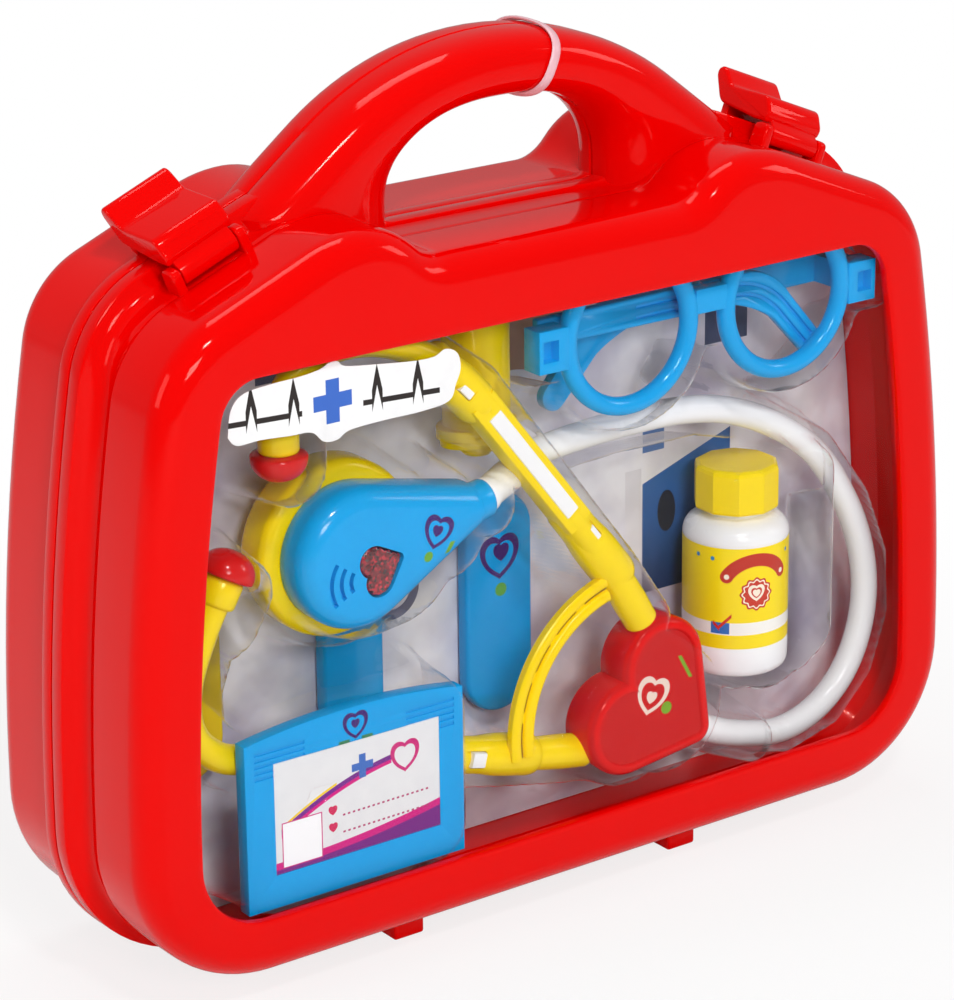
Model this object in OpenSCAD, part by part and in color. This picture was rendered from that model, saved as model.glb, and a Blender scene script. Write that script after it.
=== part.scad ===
// Toy doctor case: two red shells hinged at the bottom, a clear window, two latches on the
// shoulders, a carrying handle in two halves, and a stethoscope, glasses, bottle and name card
// in a clear blister behind the window. Front face towards -Y, feet on z = 0.

/* [Case] */
// Width between the side walls where the case is widest
case_w = 282; // [260:1:300]
// Height of the walls from the bottom to the top of the shoulders
case_h = 200.8; // [190:1:215]
// Depth from the front face to the rear face
case_d = 80; // [74:0.5:88]
// Depth of the parting line behind the front face
part_d = 41; // [40:0.5:44]
// Thickness of the shells
wall_t = 2.2; // [1.8:0.1:2.6]
// Radius of the bottom corners
corner_bottom_r = 40; // [34:1:46]
// Radius of the bowed sides
side_r = 705; // [500:5:900]
// Radius of the top corners
corner_top_r = 31; // [26:1:36]
// Drop from the shoulder tops to the centres of the top corners
corner_drop = 44.4; // [42:0.2:48]
// Slope of the shoulders that carry the latches, in degrees
shoulder_slope = 22.5; // [18:0.5:26]
// Radius over the shoulder tops
crown_r = 40; // [32:1:44]
// Depth of the dip under the handle
dip = 10.5; // [8:0.5:12]
// Radius where the dip starts
dip_outer_r = 26; // [22:1:30]
// Radius at the foot of the dip
dip_inner_r = 14; // [12:1:18]
// Rounding of the front edge
front_r = 8; // [6:0.5:9]
// Rounding of the rear edge
rear_r = 10; // [8:0.5:13]
// How much higher the shoulders of the rear shell stand
rear_rise = 4.6; // [3:0.1:6]
// How much deeper the rear shell's dip is
rear_dip = 3.6; // [2:0.1:5]

/* [Seam] */
// Distance from the flat front wall to the parting line, over the groove and the rim
groove_w = 15.5; // [14:0.5:17]
// Depth of the groove in the front wall
groove_t = 2.5; // [1.5:0.1:3]
// Height at which the groove ends under the latches
groove_end = 189; // [180:1:190]
// Length over which the groove fades out
groove_fade = 18; // [12:1:24]
// How far the rim stands out of the walls
rim_out = 3.5; // [2.5:0.1:4.5]
// How much higher the rims stand over the shoulders than over the sides
rim_rise = 2.8; // [2:0.1:4]
// How much deeper the rims dip under the handle
rim_dip = 5; // [4:0.1:6]
// Width of the front rim
rim_front_w = 5.4; // [4.5:0.1:6]
// Width of the rear rim
rim_rear_w = 5.2; // [4.5:0.1:6]
// Gap between the two rims
seam_gap = 0.3; // [0.2:0.05:0.5]

/* [Window] */
// Width of the window where it is widest
window_w = 246; // [230:1:252]
// Height of the window
window_h = 151.3; // [140:0.5:156]
// Frame below the window
window_sill = 17.6; // [14:0.2:22]
// Radius of the lower window corners
window_bottom_r = 20; // [16:1:26]
// Radius of the upper window corners
window_top_r = 12; // [9:1:16]
// Thickness of the clear pane
pane_t = 0.8; // [0.6:0.1:1.2]

/* [Handle] */
// Height of the handle's top above the feet
handle_top = 248.1; // [244:0.5:252]
// Radius of the outer arch
handle_r = 98; // [92:1:104]
// Thickness of the grip at the top
grip_t = 18.4; // [16:0.2:21]
// Depth of the grip from front to rear
grip_d = 30; // [26:0.5:32]
// Half width of the finger opening
finger_half_w = 37; // [34:0.5:44]
// Gap between the feet of the handle and the ears of the latches
handle_gap = 1.9; // [1:0.1:6]
// Wall of the handle halves
handle_wall = 2.4; // [2:0.1:3]

/* [Feet and hinge] */
// Height of the feet
foot_h = 8.7; // [8.2:0.1:10]
// Width of a foot
foot_w = 10; // [8:0.5:14]
// Depth of a foot
foot_d = 8; // [6:0.5:9]
// Half distance between the front feet
front_foot_x = 49; // [40:1:60]
// Half distance between the rear feet
rear_foot_x = 92; // [80:1:98]
// Half distance between the hinges
hinge_x = 68; // [62:1:76]
// Radius of the hinge knuckles
knuckle_r = 2.4; // [2.2:0.1:2.6]
// Radius of the hinge pins
hinge_pin_r = 1; // [0.8:0.05:1.2]
// Length of the middle knuckle
knuckle_w = 10; // [8:0.5:14]
// Length of the outer knuckles
side_knuckle_w = 4; // [3:0.5:6]

/* [Latches] */
// Width of a latch
latch_w = 21.5; // [20:0.5:24]
// Height of the latch plate's top above the shoulder
latch_h = 14.5; // [13.5:0.5:16]
// Thickness of the latch plate
latch_t = 2.6; // [2:0.1:3.5]
// Distance from the latch plate's front edge to the parting line
latch_ahead = 11; // [10:0.5:12]
// Height of the pivot above the shoulder
pivot_h = 3.8; // [3.6:0.1:4.4]
// Distance from the latch pivot to the parting line
pivot_ahead = 13.5; // [12.5:0.1:14]
// Radius of the latch barrel
barrel_r = 3; // [2.6:0.1:3.2]
// Radius of the latch pins
latch_pin_r = 1.1; // [0.9:0.05:1.3]
// Width of the ears that hold a latch
ear_w = 3; // [2:0.1:3]
// Wall that closes the outer side of an ear
ear_cap = 1; // [0.6:0.1:1.2]
// Height of the finger tab above the plate
tab_h = 4.9; // [4:0.1:6]
// How far the latches sit outward on their slopes
latch_shift = 0.9; // [0:0.1:2]

/* [Fits] */
// Gap between moving pieces
gap = 0.3; // [0.25:0.05:0.5]
// Radial clearance of the pins in their running bores
pin_gap = 0.06; // [0.02:0.01:0.1]
// Radial clearance of the pins in the bores that hold them
press_gap = 0.02; // [0.01:0.01:0.05]

/* [Packing] */
// Distance from the card behind the toys to the parting line
card_ahead = 3.9; // [2.5:0.1:4.1]
// Thickness of the card
card_t = 0.8; // [0.5:0.1:1.2]
// Thickness of the clear blister
blister_t = 0.5; // [0.4:0.05:0.8]

/* [Stethoscope] */
// Radius of the yellow ear tubes
ear_tube_r = 4.2; // [3.6:0.1:4.4]
// Radius of the white tube
white_tube_r = 4; // [3.4:0.1:4.2]
// Radius of the chest disc
disc_r = 25; // [23:0.5:27]
// Radius of the blue chest shell's round end
chest_r = 20; // [18:0.5:21]
// Travel of the heart button
button_travel = 1.2; // [0.8:0.1:1.5]
// Radius of the lobes of the red heart
heart_lobe_r = 14.5; // [13:0.5:15.5]

/* [Bottle, glasses and card] */
// Gap between the bottle and the card behind it, which sets the bottle's radius
bottle_gap = 1.8; // [1.2:0.1:4]
// Height of the bottle with its cap
bottle_h = 62.5; // [58:0.5:66]
// Radius of the cap over its corners
cap_r = 12.6; // [11.5:0.1:13.2]
// Height of the cap
cap_h = 13.5; // [12:0.5:15]
// Outer radius of the glasses' rings
ring_r = 24; // [22:0.5:25]
// Radius of the rings' round section
ring_tube_r = 2.7; // [2.2:0.1:3]
// Width of the name card holder
holder_w = 71; // [66:0.5:74]
// Height of the name card holder at its sides
holder_h = 49; // [45:0.5:52]

/* [Hidden] */
$fn = 48;

shell_red = [0.9, 0.02, 0.02];
toy_yellow = [0.98, 0.85, 0.02];
toy_blue = [0.0, 0.6, 0.9];

// Outline of the walls, from the lower corner up the right side to the dip, inset by d
wall_z = foot_h;
top_z = wall_z + case_h;
slope_end = 90 - shoulder_slope;

// Places that follow the parting line
flat_d = part_d - groove_w;
latch_d = part_d - latch_ahead;
pivot_d = part_d - pivot_ahead;
card_d = part_d - card_ahead;

function polar(c, r, a) = [c[0] + r * cos(a), c[1] + r * sin(a)];
function arc(c, r, from, to, steps, first = 0) =
    [for (i = [first:steps]) polar(c, r, from + (to - from) * i / steps)];

function low_centre(w, z, rb) = [w / 2 - rb, z + rb];
function side_centre(w, z, rb, rs) = [w / 2 - rs, z + rb];
function side_turn(z, rb, rs, rt, zt) = asin((zt - z - rb) / (rs - rt));
function high_centre(w, z, rb, rs, rt, zt) =
    polar(side_centre(w, z, rb, rs), rs - rt, side_turn(z, rb, rs, rt, zt));
function side_points(w, z, rb, rs, rt, zt, last, d) =
    let (turn = side_turn(z, rb, rs, rt, zt))
    concat(
        arc(low_centre(w, z, rb), rb - d, -90, 0, 10),
        arc(side_centre(w, z, rb, rs), rs - d, 0, turn, 8, 1),
        arc(high_centre(w, z, rb, rs, rt, zt), rt - d, turn, last, 8, 1)
    );

crown_z = top_z - crown_r;
function corner_at(rise) = high_centre(case_w, wall_z, corner_bottom_r, side_r, corner_top_r,
    top_z + rise - corner_drop);
function slope_low_at(rise) = polar(corner_at(rise), corner_top_r, slope_end);
function slope_high_at(rise) =
    let (low = slope_low_at(rise), z = crown_z + rise + crown_r * sin(slope_end))
    [low[0] - (z - low[1]) / tan(shoulder_slope), z];
// Rise lifts the shoulders, and more deepens the dip between them
function half_outline(d, rise = 0, more = 0) =
    let (crown = [slope_high_at(rise)[0] - crown_r * cos(slope_end), crown_z + rise],
         turn = acos(1 - (dip + more) / (dip_outer_r + dip_inner_r)),
         outer = [crown[0], top_z + rise - dip_outer_r],
         inner = polar(outer, dip_outer_r + dip_inner_r, 90 + turn))
    concat(
        side_points(case_w, wall_z, corner_bottom_r, side_r, corner_top_r,
            top_z + rise - corner_drop, slope_end, d),
        arc(crown, crown_r - d, slope_end, 90, 3),
        arc(outer, dip_outer_r - d, 90, 90 + turn, 5, 1),
        arc(inner, dip_inner_r + d, turn - 90, -90, 4, 1)
    );
shelf_z = top_z - dip;
slope_low = slope_low_at(0);
slope_mid = (slope_low + slope_high_at(0)) / 2;
barrel_w = latch_w - 3.5;
handle_half_w = slope_mid[0]
    - (barrel_w / 2 + gap + ear_w - latch_shift) * cos(shoulder_slope) - handle_gap;
function mirrored(pts) = [for (i = [len(pts) - 1:-1:0]) [-pts[i][0], pts[i][1]]];
function outline(d, rise = 0, more = 0) =
    let (half = half_outline(d, rise, more)) concat(half, mirrored(half));

// The window has the same number of points as the outline, so the face joins them pair by pair
window_z = wall_z + window_sill;
window_top = window_z + window_h;
window_c = window_z + window_h / 2;
window_side = side_points(window_w, window_z, window_bottom_r, side_r, window_top_r,
    window_top - window_top_r, 90, 0);
window_corner_x = window_side[len(window_side) - 1][0];
function half_window() = concat(
    window_side,
    [for (i = [len(window_side):len(half_outline(0)) - 1])
        [half_outline(0)[i][0] * window_corner_x / slope_low[0], window_top]]
);
function window_outline() = concat(half_window(), mirrored(half_window()));

function at_depth(pts, y) = [for (p = pts) [p[0], y, p[1]]];
function ring(d, y) = at_depth(outline(d), y);
function rim_ring(d, y) = at_depth(outline(d, rim_rise, rim_dip), y);
function rear_ring(d, y) = at_depth(outline(d, rear_rise, rear_dip), y);
function edge_rings(r) = [for (a = [0:18:90]) ring(r - r * sin(a), r - r * cos(a))];
// Groove that fades out towards the shoulders, and the cove that leads from it up to the rim
function faded(t) =
    let (outer = outline(0), floor = outline(t))
    [for (i = [0:len(outer) - 1])
        let (k = min(1, max(0, (groove_end - outer[i][1]) / groove_fade)))
        outer[i] + (floor[i] - outer[i]) * k];
function cove(w) =
    let (floor = faded(groove_t * 0.8), rim = outline(-rim_out, rim_rise, rim_dip))
    [for (i = [0:len(floor) - 1]) floor[i] + (rim[i] - floor[i]) * w];

// Skin over rings of equal length; a closed skin has no end caps
module skin(rings, closed = false) {
    n = len(rings[0]);
    m = len(rings);
    last = closed ? m - 1 : m - 2;
    sides = [for (j = [0:last], i = [0:n - 1])
        let (a = j * n + i, b = j * n + (i + 1) % n,
             c = ((j + 1) % m) * n + (i + 1) % n, d = ((j + 1) % m) * n + i)
        each [[a, b, c], [a, c, d]]];
    caps = closed ? [] : [[for (i = [n - 1:-1:0]) i], [for (i = [0:n - 1]) (m - 1) * n + i]];
    polyhedron([for (r = rings) each r], concat(sides, caps), convexity = 10);
}

module placed() translate([0, -case_d / 2, 0]) children();
// Flat plate with an outline in X and Z, from depth y to depth y + t
module plate(pts, y, t) translate([0, y + t, 0]) rotate([90, 0, 0]) linear_extrude(t) polygon(pts);
module along_y(y, len, r) translate([0, y, 0]) rotate([-90, 0, 0]) cylinder(h = len, r = r);
module along_x(x, len, r) translate([x, 0, 0]) rotate([0, 90, 0]) cylinder(h = len, r = r);

// Front shell
groove_in = wall_t + groove_t + 0.3;
front_lip = part_d - seam_gap / 2;
rim_start = front_lip - rim_front_w;
function front_wall() = [
    ring(0, flat_d),
    at_depth(faded(groove_t * 0.7), flat_d + 0.8),
    at_depth(faded(groove_t), flat_d + 3),
    at_depth(faded(groove_t * 0.9), rim_start - 4),
    at_depth(cove(0.1), rim_start - 2.2),
    at_depth(cove(0.45), rim_start - 0.9),
    at_depth(cove(0.85), rim_start - 0.3),
    rim_ring(-rim_out, rim_start + 0.5),
    rim_ring(-rim_out, front_lip)
];
front_inside = [
    [groove_in, front_lip], [groove_in, flat_d], [wall_t, flat_d - groove_t - 1], [wall_t, front_r + 1]
];

module front_shell() color(shell_red) placed()
    skin(concat(
        [at_depth(window_outline(), 0)],
        edge_rings(front_r),
        front_wall(),
        [for (p = front_inside) ring(p[0], p[1])],
        [ring(front_r * 0.6, wall_t + 1), ring(front_r, wall_t)],
        [at_depth(window_outline(), wall_t)]
    ), closed = true);

// Rear shell
rear_lip = part_d + seam_gap / 2;
rim_end = rear_lip + rim_rear_w;
rear_draft = 0.5;
function rear_wall() = [
    rear_ring(0.1, rim_end + 0.3), rim_ring(0.5 - rim_out, rim_end),
    rim_ring(-rim_out, rim_end - 0.5), rim_ring(-rim_out, rear_lip)
];
rear_inside = [[wall_t, rear_lip], [wall_t, rim_end], [wall_t + rear_draft, case_d - rear_r]];

module rear_shell() color(shell_red) placed()
    skin(concat(
        [for (a = [90:-18:0])
            rear_ring(rear_draft + rear_r - rear_r * cos(a), case_d - rear_r + rear_r * sin(a))],
        rear_wall(),
        [for (p = rear_inside) rear_ring(p[0], p[1])],
        [rear_ring(wall_t + rear_draft + rear_r * 0.25, case_d - rear_r * 0.3 - wall_t),
         rear_ring(wall_t + rear_draft + rear_r * 0.85, case_d - wall_t)]
    ));

// Handle: each half is an open channel that follows the arch
arch_steps = 9;
arch_centre_z = handle_top - handle_r;
straight_x = 60;
straight_z = arch_centre_z + sqrt(handle_r * handle_r - straight_x * straight_x);
straight_fall = straight_x / sqrt(handle_r * handle_r - straight_x * straight_x);
finger_z = shelf_z + 6;
finger_h = handle_top - grip_t - finger_z;
leg_extra = 9;
function lobe(v, power) = sign(v) * pow(abs(v), power);
function arch_top(x) = abs(x) < straight_x
    ? arch_centre_z + sqrt(handle_r * handle_r - x * x)
    : straight_z - (abs(x) - straight_x) * straight_fall;
function outer_point(a) = let (x = handle_half_w * lobe(sin(a), 0.9)) [x, arch_top(x)];
function inner_point(a) =
    [finger_half_w * lobe(sin(a), 0.8), finger_z + finger_h * lobe(cos(a), 0.8)];
function lowered(p, by) = [p[0], p[1] - by];
function arch_pairs() = concat(
    [[lowered(inner_point(-90), leg_extra), lowered(outer_point(-90), leg_extra)]],
    [for (i = [-arch_steps:arch_steps]) let (a = 90 * i / arch_steps) [inner_point(a), outer_point(a)]],
    [[lowered(inner_point(90), leg_extra), lowered(outer_point(90), leg_extra)]]
);
// One point of the grip's section: across runs inside to outside, deep runs from the seam out
function grip_point(pair, a, depth, wall) =
    let (mid = (pair[0] + pair[1]) / 2, half = (pair[1] - pair[0]) / 2,
         k = 1 - wall / norm(half), across = lobe(sin(a), 0.76) * k,
         deep = lobe(cos(a), 0.76) * (depth - wall))
    [mid[0] + half[0] * across, deep, mid[1] + half[1] * across];
function grip_ring(pair, side) = concat(
    [for (a = [-90:20:90]) let (p = grip_point(pair, a, grip_d / 2 - seam_gap / 2, 0))
        [p[0], part_d + side * (p[1] + seam_gap / 2), p[2]]],
    [for (a = [90:-20:-90]) let (p = grip_point(pair, a, grip_d / 2 - seam_gap / 2, handle_wall))
        [p[0], part_d + side * (p[1] + seam_gap / 2), p[2]]]
);

module handle_half(side) {
    pairs = arch_pairs();
    order = side < 0 ? [0:len(pairs) - 1] : [len(pairs) - 1:-1:0];
    skin([for (i = order) grip_ring(pairs[i], side)]);
}
// Solid block inside the walls, which trims the feet of the handle to the shells
module front_block()
    skin(concat([ring(0, front_r)], front_wall(), [rim_ring(-rim_out, front_lip + 1)]));
module rear_block()
    skin(concat([rim_ring(-rim_out, rear_lip - 1)], [for (i = [3:-1:0]) rear_wall()[i]],
        [rear_ring(rear_draft, case_d - rear_r)]));

module front_handle() color(shell_red) placed()
    difference() {
        handle_half(-1);
        front_block();
    }
module rear_handle() color(shell_red) placed()
    difference() {
        handle_half(1);
        rear_block();
    }

// Feet under both shells
front_foot_d = flat_d - foot_d - 4.5;
rear_foot_d = rim_end + 1;
module foot(x, y) translate([x - foot_w / 2, y, 0]) cube([foot_w, foot_d, wall_z]);
module front_feet() color(shell_red) placed()
    for (side = [-1, 1]) foot(side * front_foot_x, front_foot_d);
module rear_feet() color(shell_red) placed()
    for (side = [-1, 1]) foot(side * rear_foot_x, rear_foot_d);

// Hinges under the rims: the outer knuckles belong to the front, the middle one to the rear
rim_z = wall_z - rim_out;
hinge_z = rim_z - gap - knuckle_r;
hinge_len = knuckle_w + 2 * side_knuckle_w + 2 * gap;
module knuckle(x, len, y, bore_r) difference() {
    union() {
        translate([0, part_d, hinge_z]) along_x(x, len, knuckle_r);
        translate([x, y, hinge_z]) cube([len, knuckle_r, rim_z - hinge_z]);
    }
    translate([0, part_d, hinge_z]) along_x(x - 1, len + 2, bore_r);
}
module front_hinge_lugs() color(shell_red) placed()
    for (side = [-1, 1], end = [-1, 1])
        knuckle(side * hinge_x + end * (knuckle_w / 2 + gap + side_knuckle_w / 2) - side_knuckle_w / 2,
            side_knuckle_w, part_d - seam_gap / 2 - knuckle_r, hinge_pin_r + press_gap);
module rear_hinge_lugs() color(shell_red) placed()
    for (side = [-1, 1])
        knuckle(side * hinge_x - knuckle_w / 2, knuckle_w, part_d + seam_gap / 2,
            hinge_pin_r + pin_gap);
module hinge_pins() color("silver") placed()
    for (side = [-1, 1]) translate([0, part_d, hinge_z])
        along_x(side * hinge_x - hinge_len / 2, hinge_len, hinge_pin_r);

// Latches: x along the shoulder, z square to it, y as in the case
slope_normal = [cos(slope_end), sin(slope_end)];
rim_lift = (slope_low_at(rim_rise) - slope_low) * slope_normal + rim_out;
rear_lift = (slope_low_at(rear_rise) - slope_low) * slope_normal;
pin_len = barrel_w + 2 * gap + 2 * (ear_w - ear_cap);
hook_y = rim_end + gap + 0.1;
hook_t = 3;
hook_end = hook_y + hook_t;
hook_z = rear_lift + gap;
under_h = latch_h - latch_t;
skirt_h = max(rim_lift, pivot_h + barrel_r) + gap;
step_h = skirt_h + 2;
step_d = pivot_d - 0.3;
module on_shoulder(side)
    translate([side * slope_mid[0], 0, slope_mid[1]]) rotate([0, side * shoulder_slope, 0])
        translate([side * latch_shift, 0, 0]) children();
module pivot_bar(x, len, r) translate([0, pivot_d, pivot_h]) along_x(x, len, r);
// Profile in depth and height, as wide as len from x on
module profile(x, len, pts) translate([x, 0, 0]) rotate([90, 0, 90]) linear_extrude(len) polygon(pts);

module latch(side) on_shoulder(side) difference() {
    union() {
        pivot_bar(-barrel_w / 2, barrel_w, barrel_r);
        profile(-barrel_w / 2, barrel_w, [[pivot_d - barrel_r, pivot_h],
            [pivot_d - barrel_r + 0.2, pivot_h + 1.8], [step_d, step_h], [latch_d, latch_h - 0.5],
            [latch_d + 2, latch_h - 0.5], [latch_d + 2, under_h - 1.5], [pivot_d + barrel_r, pivot_h]]);
        profile(-latch_w / 2, latch_w, [[step_d, step_h], [step_d + 0.5, skirt_h],
            [step_d + 2.2, skirt_h], [latch_d + 1.5, under_h], [hook_end, under_h],
            [hook_end, latch_h], [latch_d, latch_h]]);
        for (x = [-latch_w / 2, latch_w / 2 - 1.4]) profile(x, 1.4, [[step_d + 0.5, skirt_h],
            [latch_d + 3, skirt_h], [hook_end, skirt_h + 2], [hook_end, latch_h - 1],
            [latch_d + 1, latch_h - 1]]);
        profile(-barrel_w / 2, barrel_w, [[hook_y, hook_z], [hook_end, hook_z + 1.2],
            [hook_end, latch_h - 1], [hook_y, latch_h - 1]]);
        profile(-latch_w / 2, latch_w, [[hook_y - 0.8, latch_h], [hook_y + 4.2, latch_h + tab_h - 0.7],
            [hook_y + 5.8, latch_h + tab_h], [hook_y + 7.6, latch_h + tab_h - 1.2],
            [hook_y + 7.6, latch_h + tab_h - 2.6], [hook_end, under_h]]);
    }
    pivot_bar(-latch_w, 2 * latch_w, latch_pin_r + pin_gap);
}
module latch_left() color(shell_red) placed() latch(-1);
module latch_right() color(shell_red) placed() latch(1);

module bracket_ear(x) difference() {
    union() {
        pivot_bar(x, ear_w, barrel_r);
        translate([x, pivot_d - barrel_r, 0]) cube([ear_w, 2 * barrel_r, pivot_h]);
    }
    pivot_bar(-pin_len / 2 - press_gap, pin_len + 2 * press_gap, latch_pin_r + press_gap);
}
module latch_brackets() color(shell_red) placed()
    for (side = [-1, 1]) on_shoulder(side) {
        bracket_ear(-barrel_w / 2 - gap - ear_w);
        bracket_ear(barrel_w / 2 + gap);
    }
module latch_pins() color("silver") placed()
    for (side = [-1, 1]) on_shoulder(side) pivot_bar(-pin_len / 2, pin_len, latch_pin_r);

// Cable tie round the grip, a little right of the middle
tie_angle = 9;
tie_w = 3.2;
tie_t = 1;
tie_gap = 0.7;
function tie_loop(offset, shift) =
    let (pair = [inner_point(tie_angle), outer_point(tie_angle)], mid = (pair[0] + pair[1]) / 2,
         half = (pair[1] - pair[0]) / 2, up = half / norm(half), tall = norm(half) + offset,
         deep = grip_d / 2 + offset)
    [for (a = [0:15:345]) let (s = lobe(sin(a), 0.76) * tall, q = lobe(cos(a), 0.76) * deep)
        [mid[0] + up[0] * s + up[1] * shift, part_d + q, mid[1] + up[1] * s - up[0] * shift]];
module cable_tie() color([0.95, 0.7, 0.75, 0.7]) placed()
    skin([tie_loop(tie_gap, -tie_w / 2), tie_loop(tie_gap + tie_t, -tie_w / 2),
          tie_loop(tie_gap + tie_t, tie_w / 2), tie_loop(tie_gap, tie_w / 2)], closed = true);

// Window pane, blister, card and sticker
pane_d = wall_t;
blister_d = pane_d + pane_t + gap;
flange_in = groove_in + gap;
blister_in = groove_in + 4;
module window_pane() color([0.9, 0.95, 1, 0.25]) placed() plate(outline(front_r + 1), pane_d, pane_t);
module backing_card() color("white") placed() plate(outline(flange_in), card_d, card_t);
module blister_tray() color([0.9, 0.93, 1, 0.3]) placed() difference() {
    union() {
        plate(outline(blister_in), blister_d, card_d - blister_d);
        plate(outline(flange_in), card_d - blister_t, blister_t);
    }
    plate(outline(blister_in + blister_t), blister_d + blister_t, card_d);
}
sticker_w = 71;
sticker_h = 15;
sticker_x = -75;
sticker_z = window_top - 11.2;
sticker_t = 0.2;
module window_sticker() color("white") placed()
    translate([sticker_x, pane_d - sticker_t, sticker_z]) rotate([90, 0, 0]) mirror([0, 0, 1])
        linear_extrude(sticker_t) {
            square([sticker_w - sticker_h, sticker_h], center = true);
            for (side = [-1, 1]) translate([side * (sticker_w - sticker_h) / 2, 0]) circle(sticker_h / 2);
            translate([-6, 1.5]) circle(8.6);
        }

// Tubes: a smooth line through a few points chosen by hand, swept with a round section
function curve_at(p, i, t) =
    let (n = len(p) - 1, a = p[max(i - 1, 0)], b = p[i], c = p[min(i + 1, n)], d = p[min(i + 2, n)])
    0.5 * (2 * b + (c - a) * t + (2 * a - 5 * b + 4 * c - d) * t * t
        + (3 * b - a - 3 * c + d) * t * t * t);
function curve(p, steps) = concat(
    [for (i = [0:len(p) - 2], k = [0:steps - 1]) curve_at(p, i, k / steps)], [p[len(p) - 1]]);
function unit(v) = v / norm(v);
module tube(points, r, steps, sides = 10) {
    line = curve(points, steps);
    last = len(line) - 1;
    skin([for (i = [0:last])
        let (dir = unit(line[min(i + 1, last)] - line[max(i - 1, 0)]),
             u = unit(cross(dir, [0, 1, 0])), v = cross(u, dir))
        [for (k = [0:sides - 1]) line[i] + r * (u * cos(360 * k / sides) + v * sin(360 * k / sides))]
    ]);
}

// Everything in the blister is placed from the window's centre
module in_window() placed() translate([0, 0, window_c]) children();
toys_d = blister_d + blister_t + gap;
arm_d = toys_d + ear_tube_r + 0.2;
low_arm_d = toys_d + 9.6;
upper_arm = [[-88, arm_d + 3.8, 54], [-87, arm_d + 2.4, 66], [-78, arm_d + 0.6, 75], [-62, arm_d, 76],
    [-46, arm_d, 70], [-29, arm_d, 57.5], [-13, arm_d, 36], [2, arm_d, 16], [18, arm_d, -5],
    [30, arm_d, -23]];
lower_arm = [[-107, low_arm_d, 15], [-113, low_arm_d, 4], [-118, low_arm_d, -10],
    [-117, low_arm_d, -23], [-108, low_arm_d, -32], [-92, low_arm_d, -36], [-60, low_arm_d, -44.5],
    [-22, low_arm_d, -54], [-2, low_arm_d, -58.5], [9, low_arm_d, -60.5]];
tip_r = 7.8;
collar_r = 5.6;
collar_h = 4;
tip_lower_turn = 28;
module ear_tube_upper() color(toy_yellow) in_window() tube(upper_arm, ear_tube_r, 3);
module ear_tube_lower() color(toy_yellow) in_window() tube(lower_arm, ear_tube_r, 3);
module tip_at(p, turn) translate(p) rotate([0, turn, 0]) children();
module collar() difference() {
    translate([0, 0, -collar_h]) cylinder(h = collar_h + 4, r = collar_r);
    cylinder(h = 5, r = ear_tube_r + 0.2);
}
module tip() translate([0, 0, -collar_h]) intersection() {
    sphere(tip_r);
    translate([-tip_r, -tip_r, -tip_r]) cube([2 * tip_r, 2 * tip_r, tip_r]);
}
module ear_collars() color(toy_yellow) in_window() difference() {
    union() {
        tip_at(upper_arm[0], 0) collar();
        tip_at(lower_arm[0], 180 + tip_lower_turn) collar();
    }
    tube(upper_arm, ear_tube_r + 0.05, 3);
    tube(lower_arm, ear_tube_r + 0.05, 3);
}
module ear_tips() color("red") in_window() {
    tip_at(upper_arm[0], 0) tip();
    tip_at(lower_arm[0], 180 + tip_lower_turn) tip();
}

// Red heart where the arms meet, with its point towards the white tube
heart_x = 29.5;
heart_z = -46.5;
heart_turn = 52;
heart_t = 13;
module heart_2d(r) rotate(45) translate([-1.5 * r, -1.5 * r]) {
    square(2 * r);
    translate([2 * r, r]) circle(r);
    translate([r, 2 * r]) circle(r);
}
module upright(y, t) translate([0, y + t, 0]) rotate([90, 0, 0]) linear_extrude(t) children();
module heart_at(y, t, r)
    translate([heart_x, 0, heart_z]) upright(y, t) rotate(heart_turn) heart_2d(r);
badge_t = 0.5;
module arm_cuts() {
    tube(upper_arm, ear_tube_r + 0.05, 3);
    tube(lower_arm, ear_tube_r + 0.05, 3);
    tube(white_route, white_tube_r + 0.05, 3);
}
module heart_junction() color("red") in_window() difference() {
    heart_at(toys_d, heart_t, heart_lobe_r);
    heart_at(toys_d - 1, 1 + badge_t, heart_lobe_r - 4);
    arm_cuts();
}
module junction_badge() color([0.8, 0.02, 0.05]) in_window()
    heart_at(toys_d + badge_t * 0.2, badge_t * 0.8, heart_lobe_r - 4.2);

// White tube from the heart round the bottle to the chest piece
tube_d = toys_d + 2 * ear_tube_r + white_tube_r + 2;
white_route = [[47, toys_d + 7, -60], [58, toys_d + 8, -66], [72, tube_d - 4, -72],
    [90, tube_d - 2, -76], [106, tube_d - 1, -72], [117, tube_d - 1, -61], [122.5, tube_d - 1, -45],
    [121.5, tube_d - 1, -27], [114, tube_d - 1, -8], [100, tube_d - 1, 11], [78, tube_d, 25],
    [54, tube_d, 31.5], [24, tube_d, 32], [4, tube_d, 30.5], [-6, tube_d, 29]];
module stethoscope_tube() color("white") in_window() difference() {
    tube(white_route, white_tube_r, 3);
    heart_at(toys_d - 5, heart_t + 10, heart_lobe_r);
}

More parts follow.
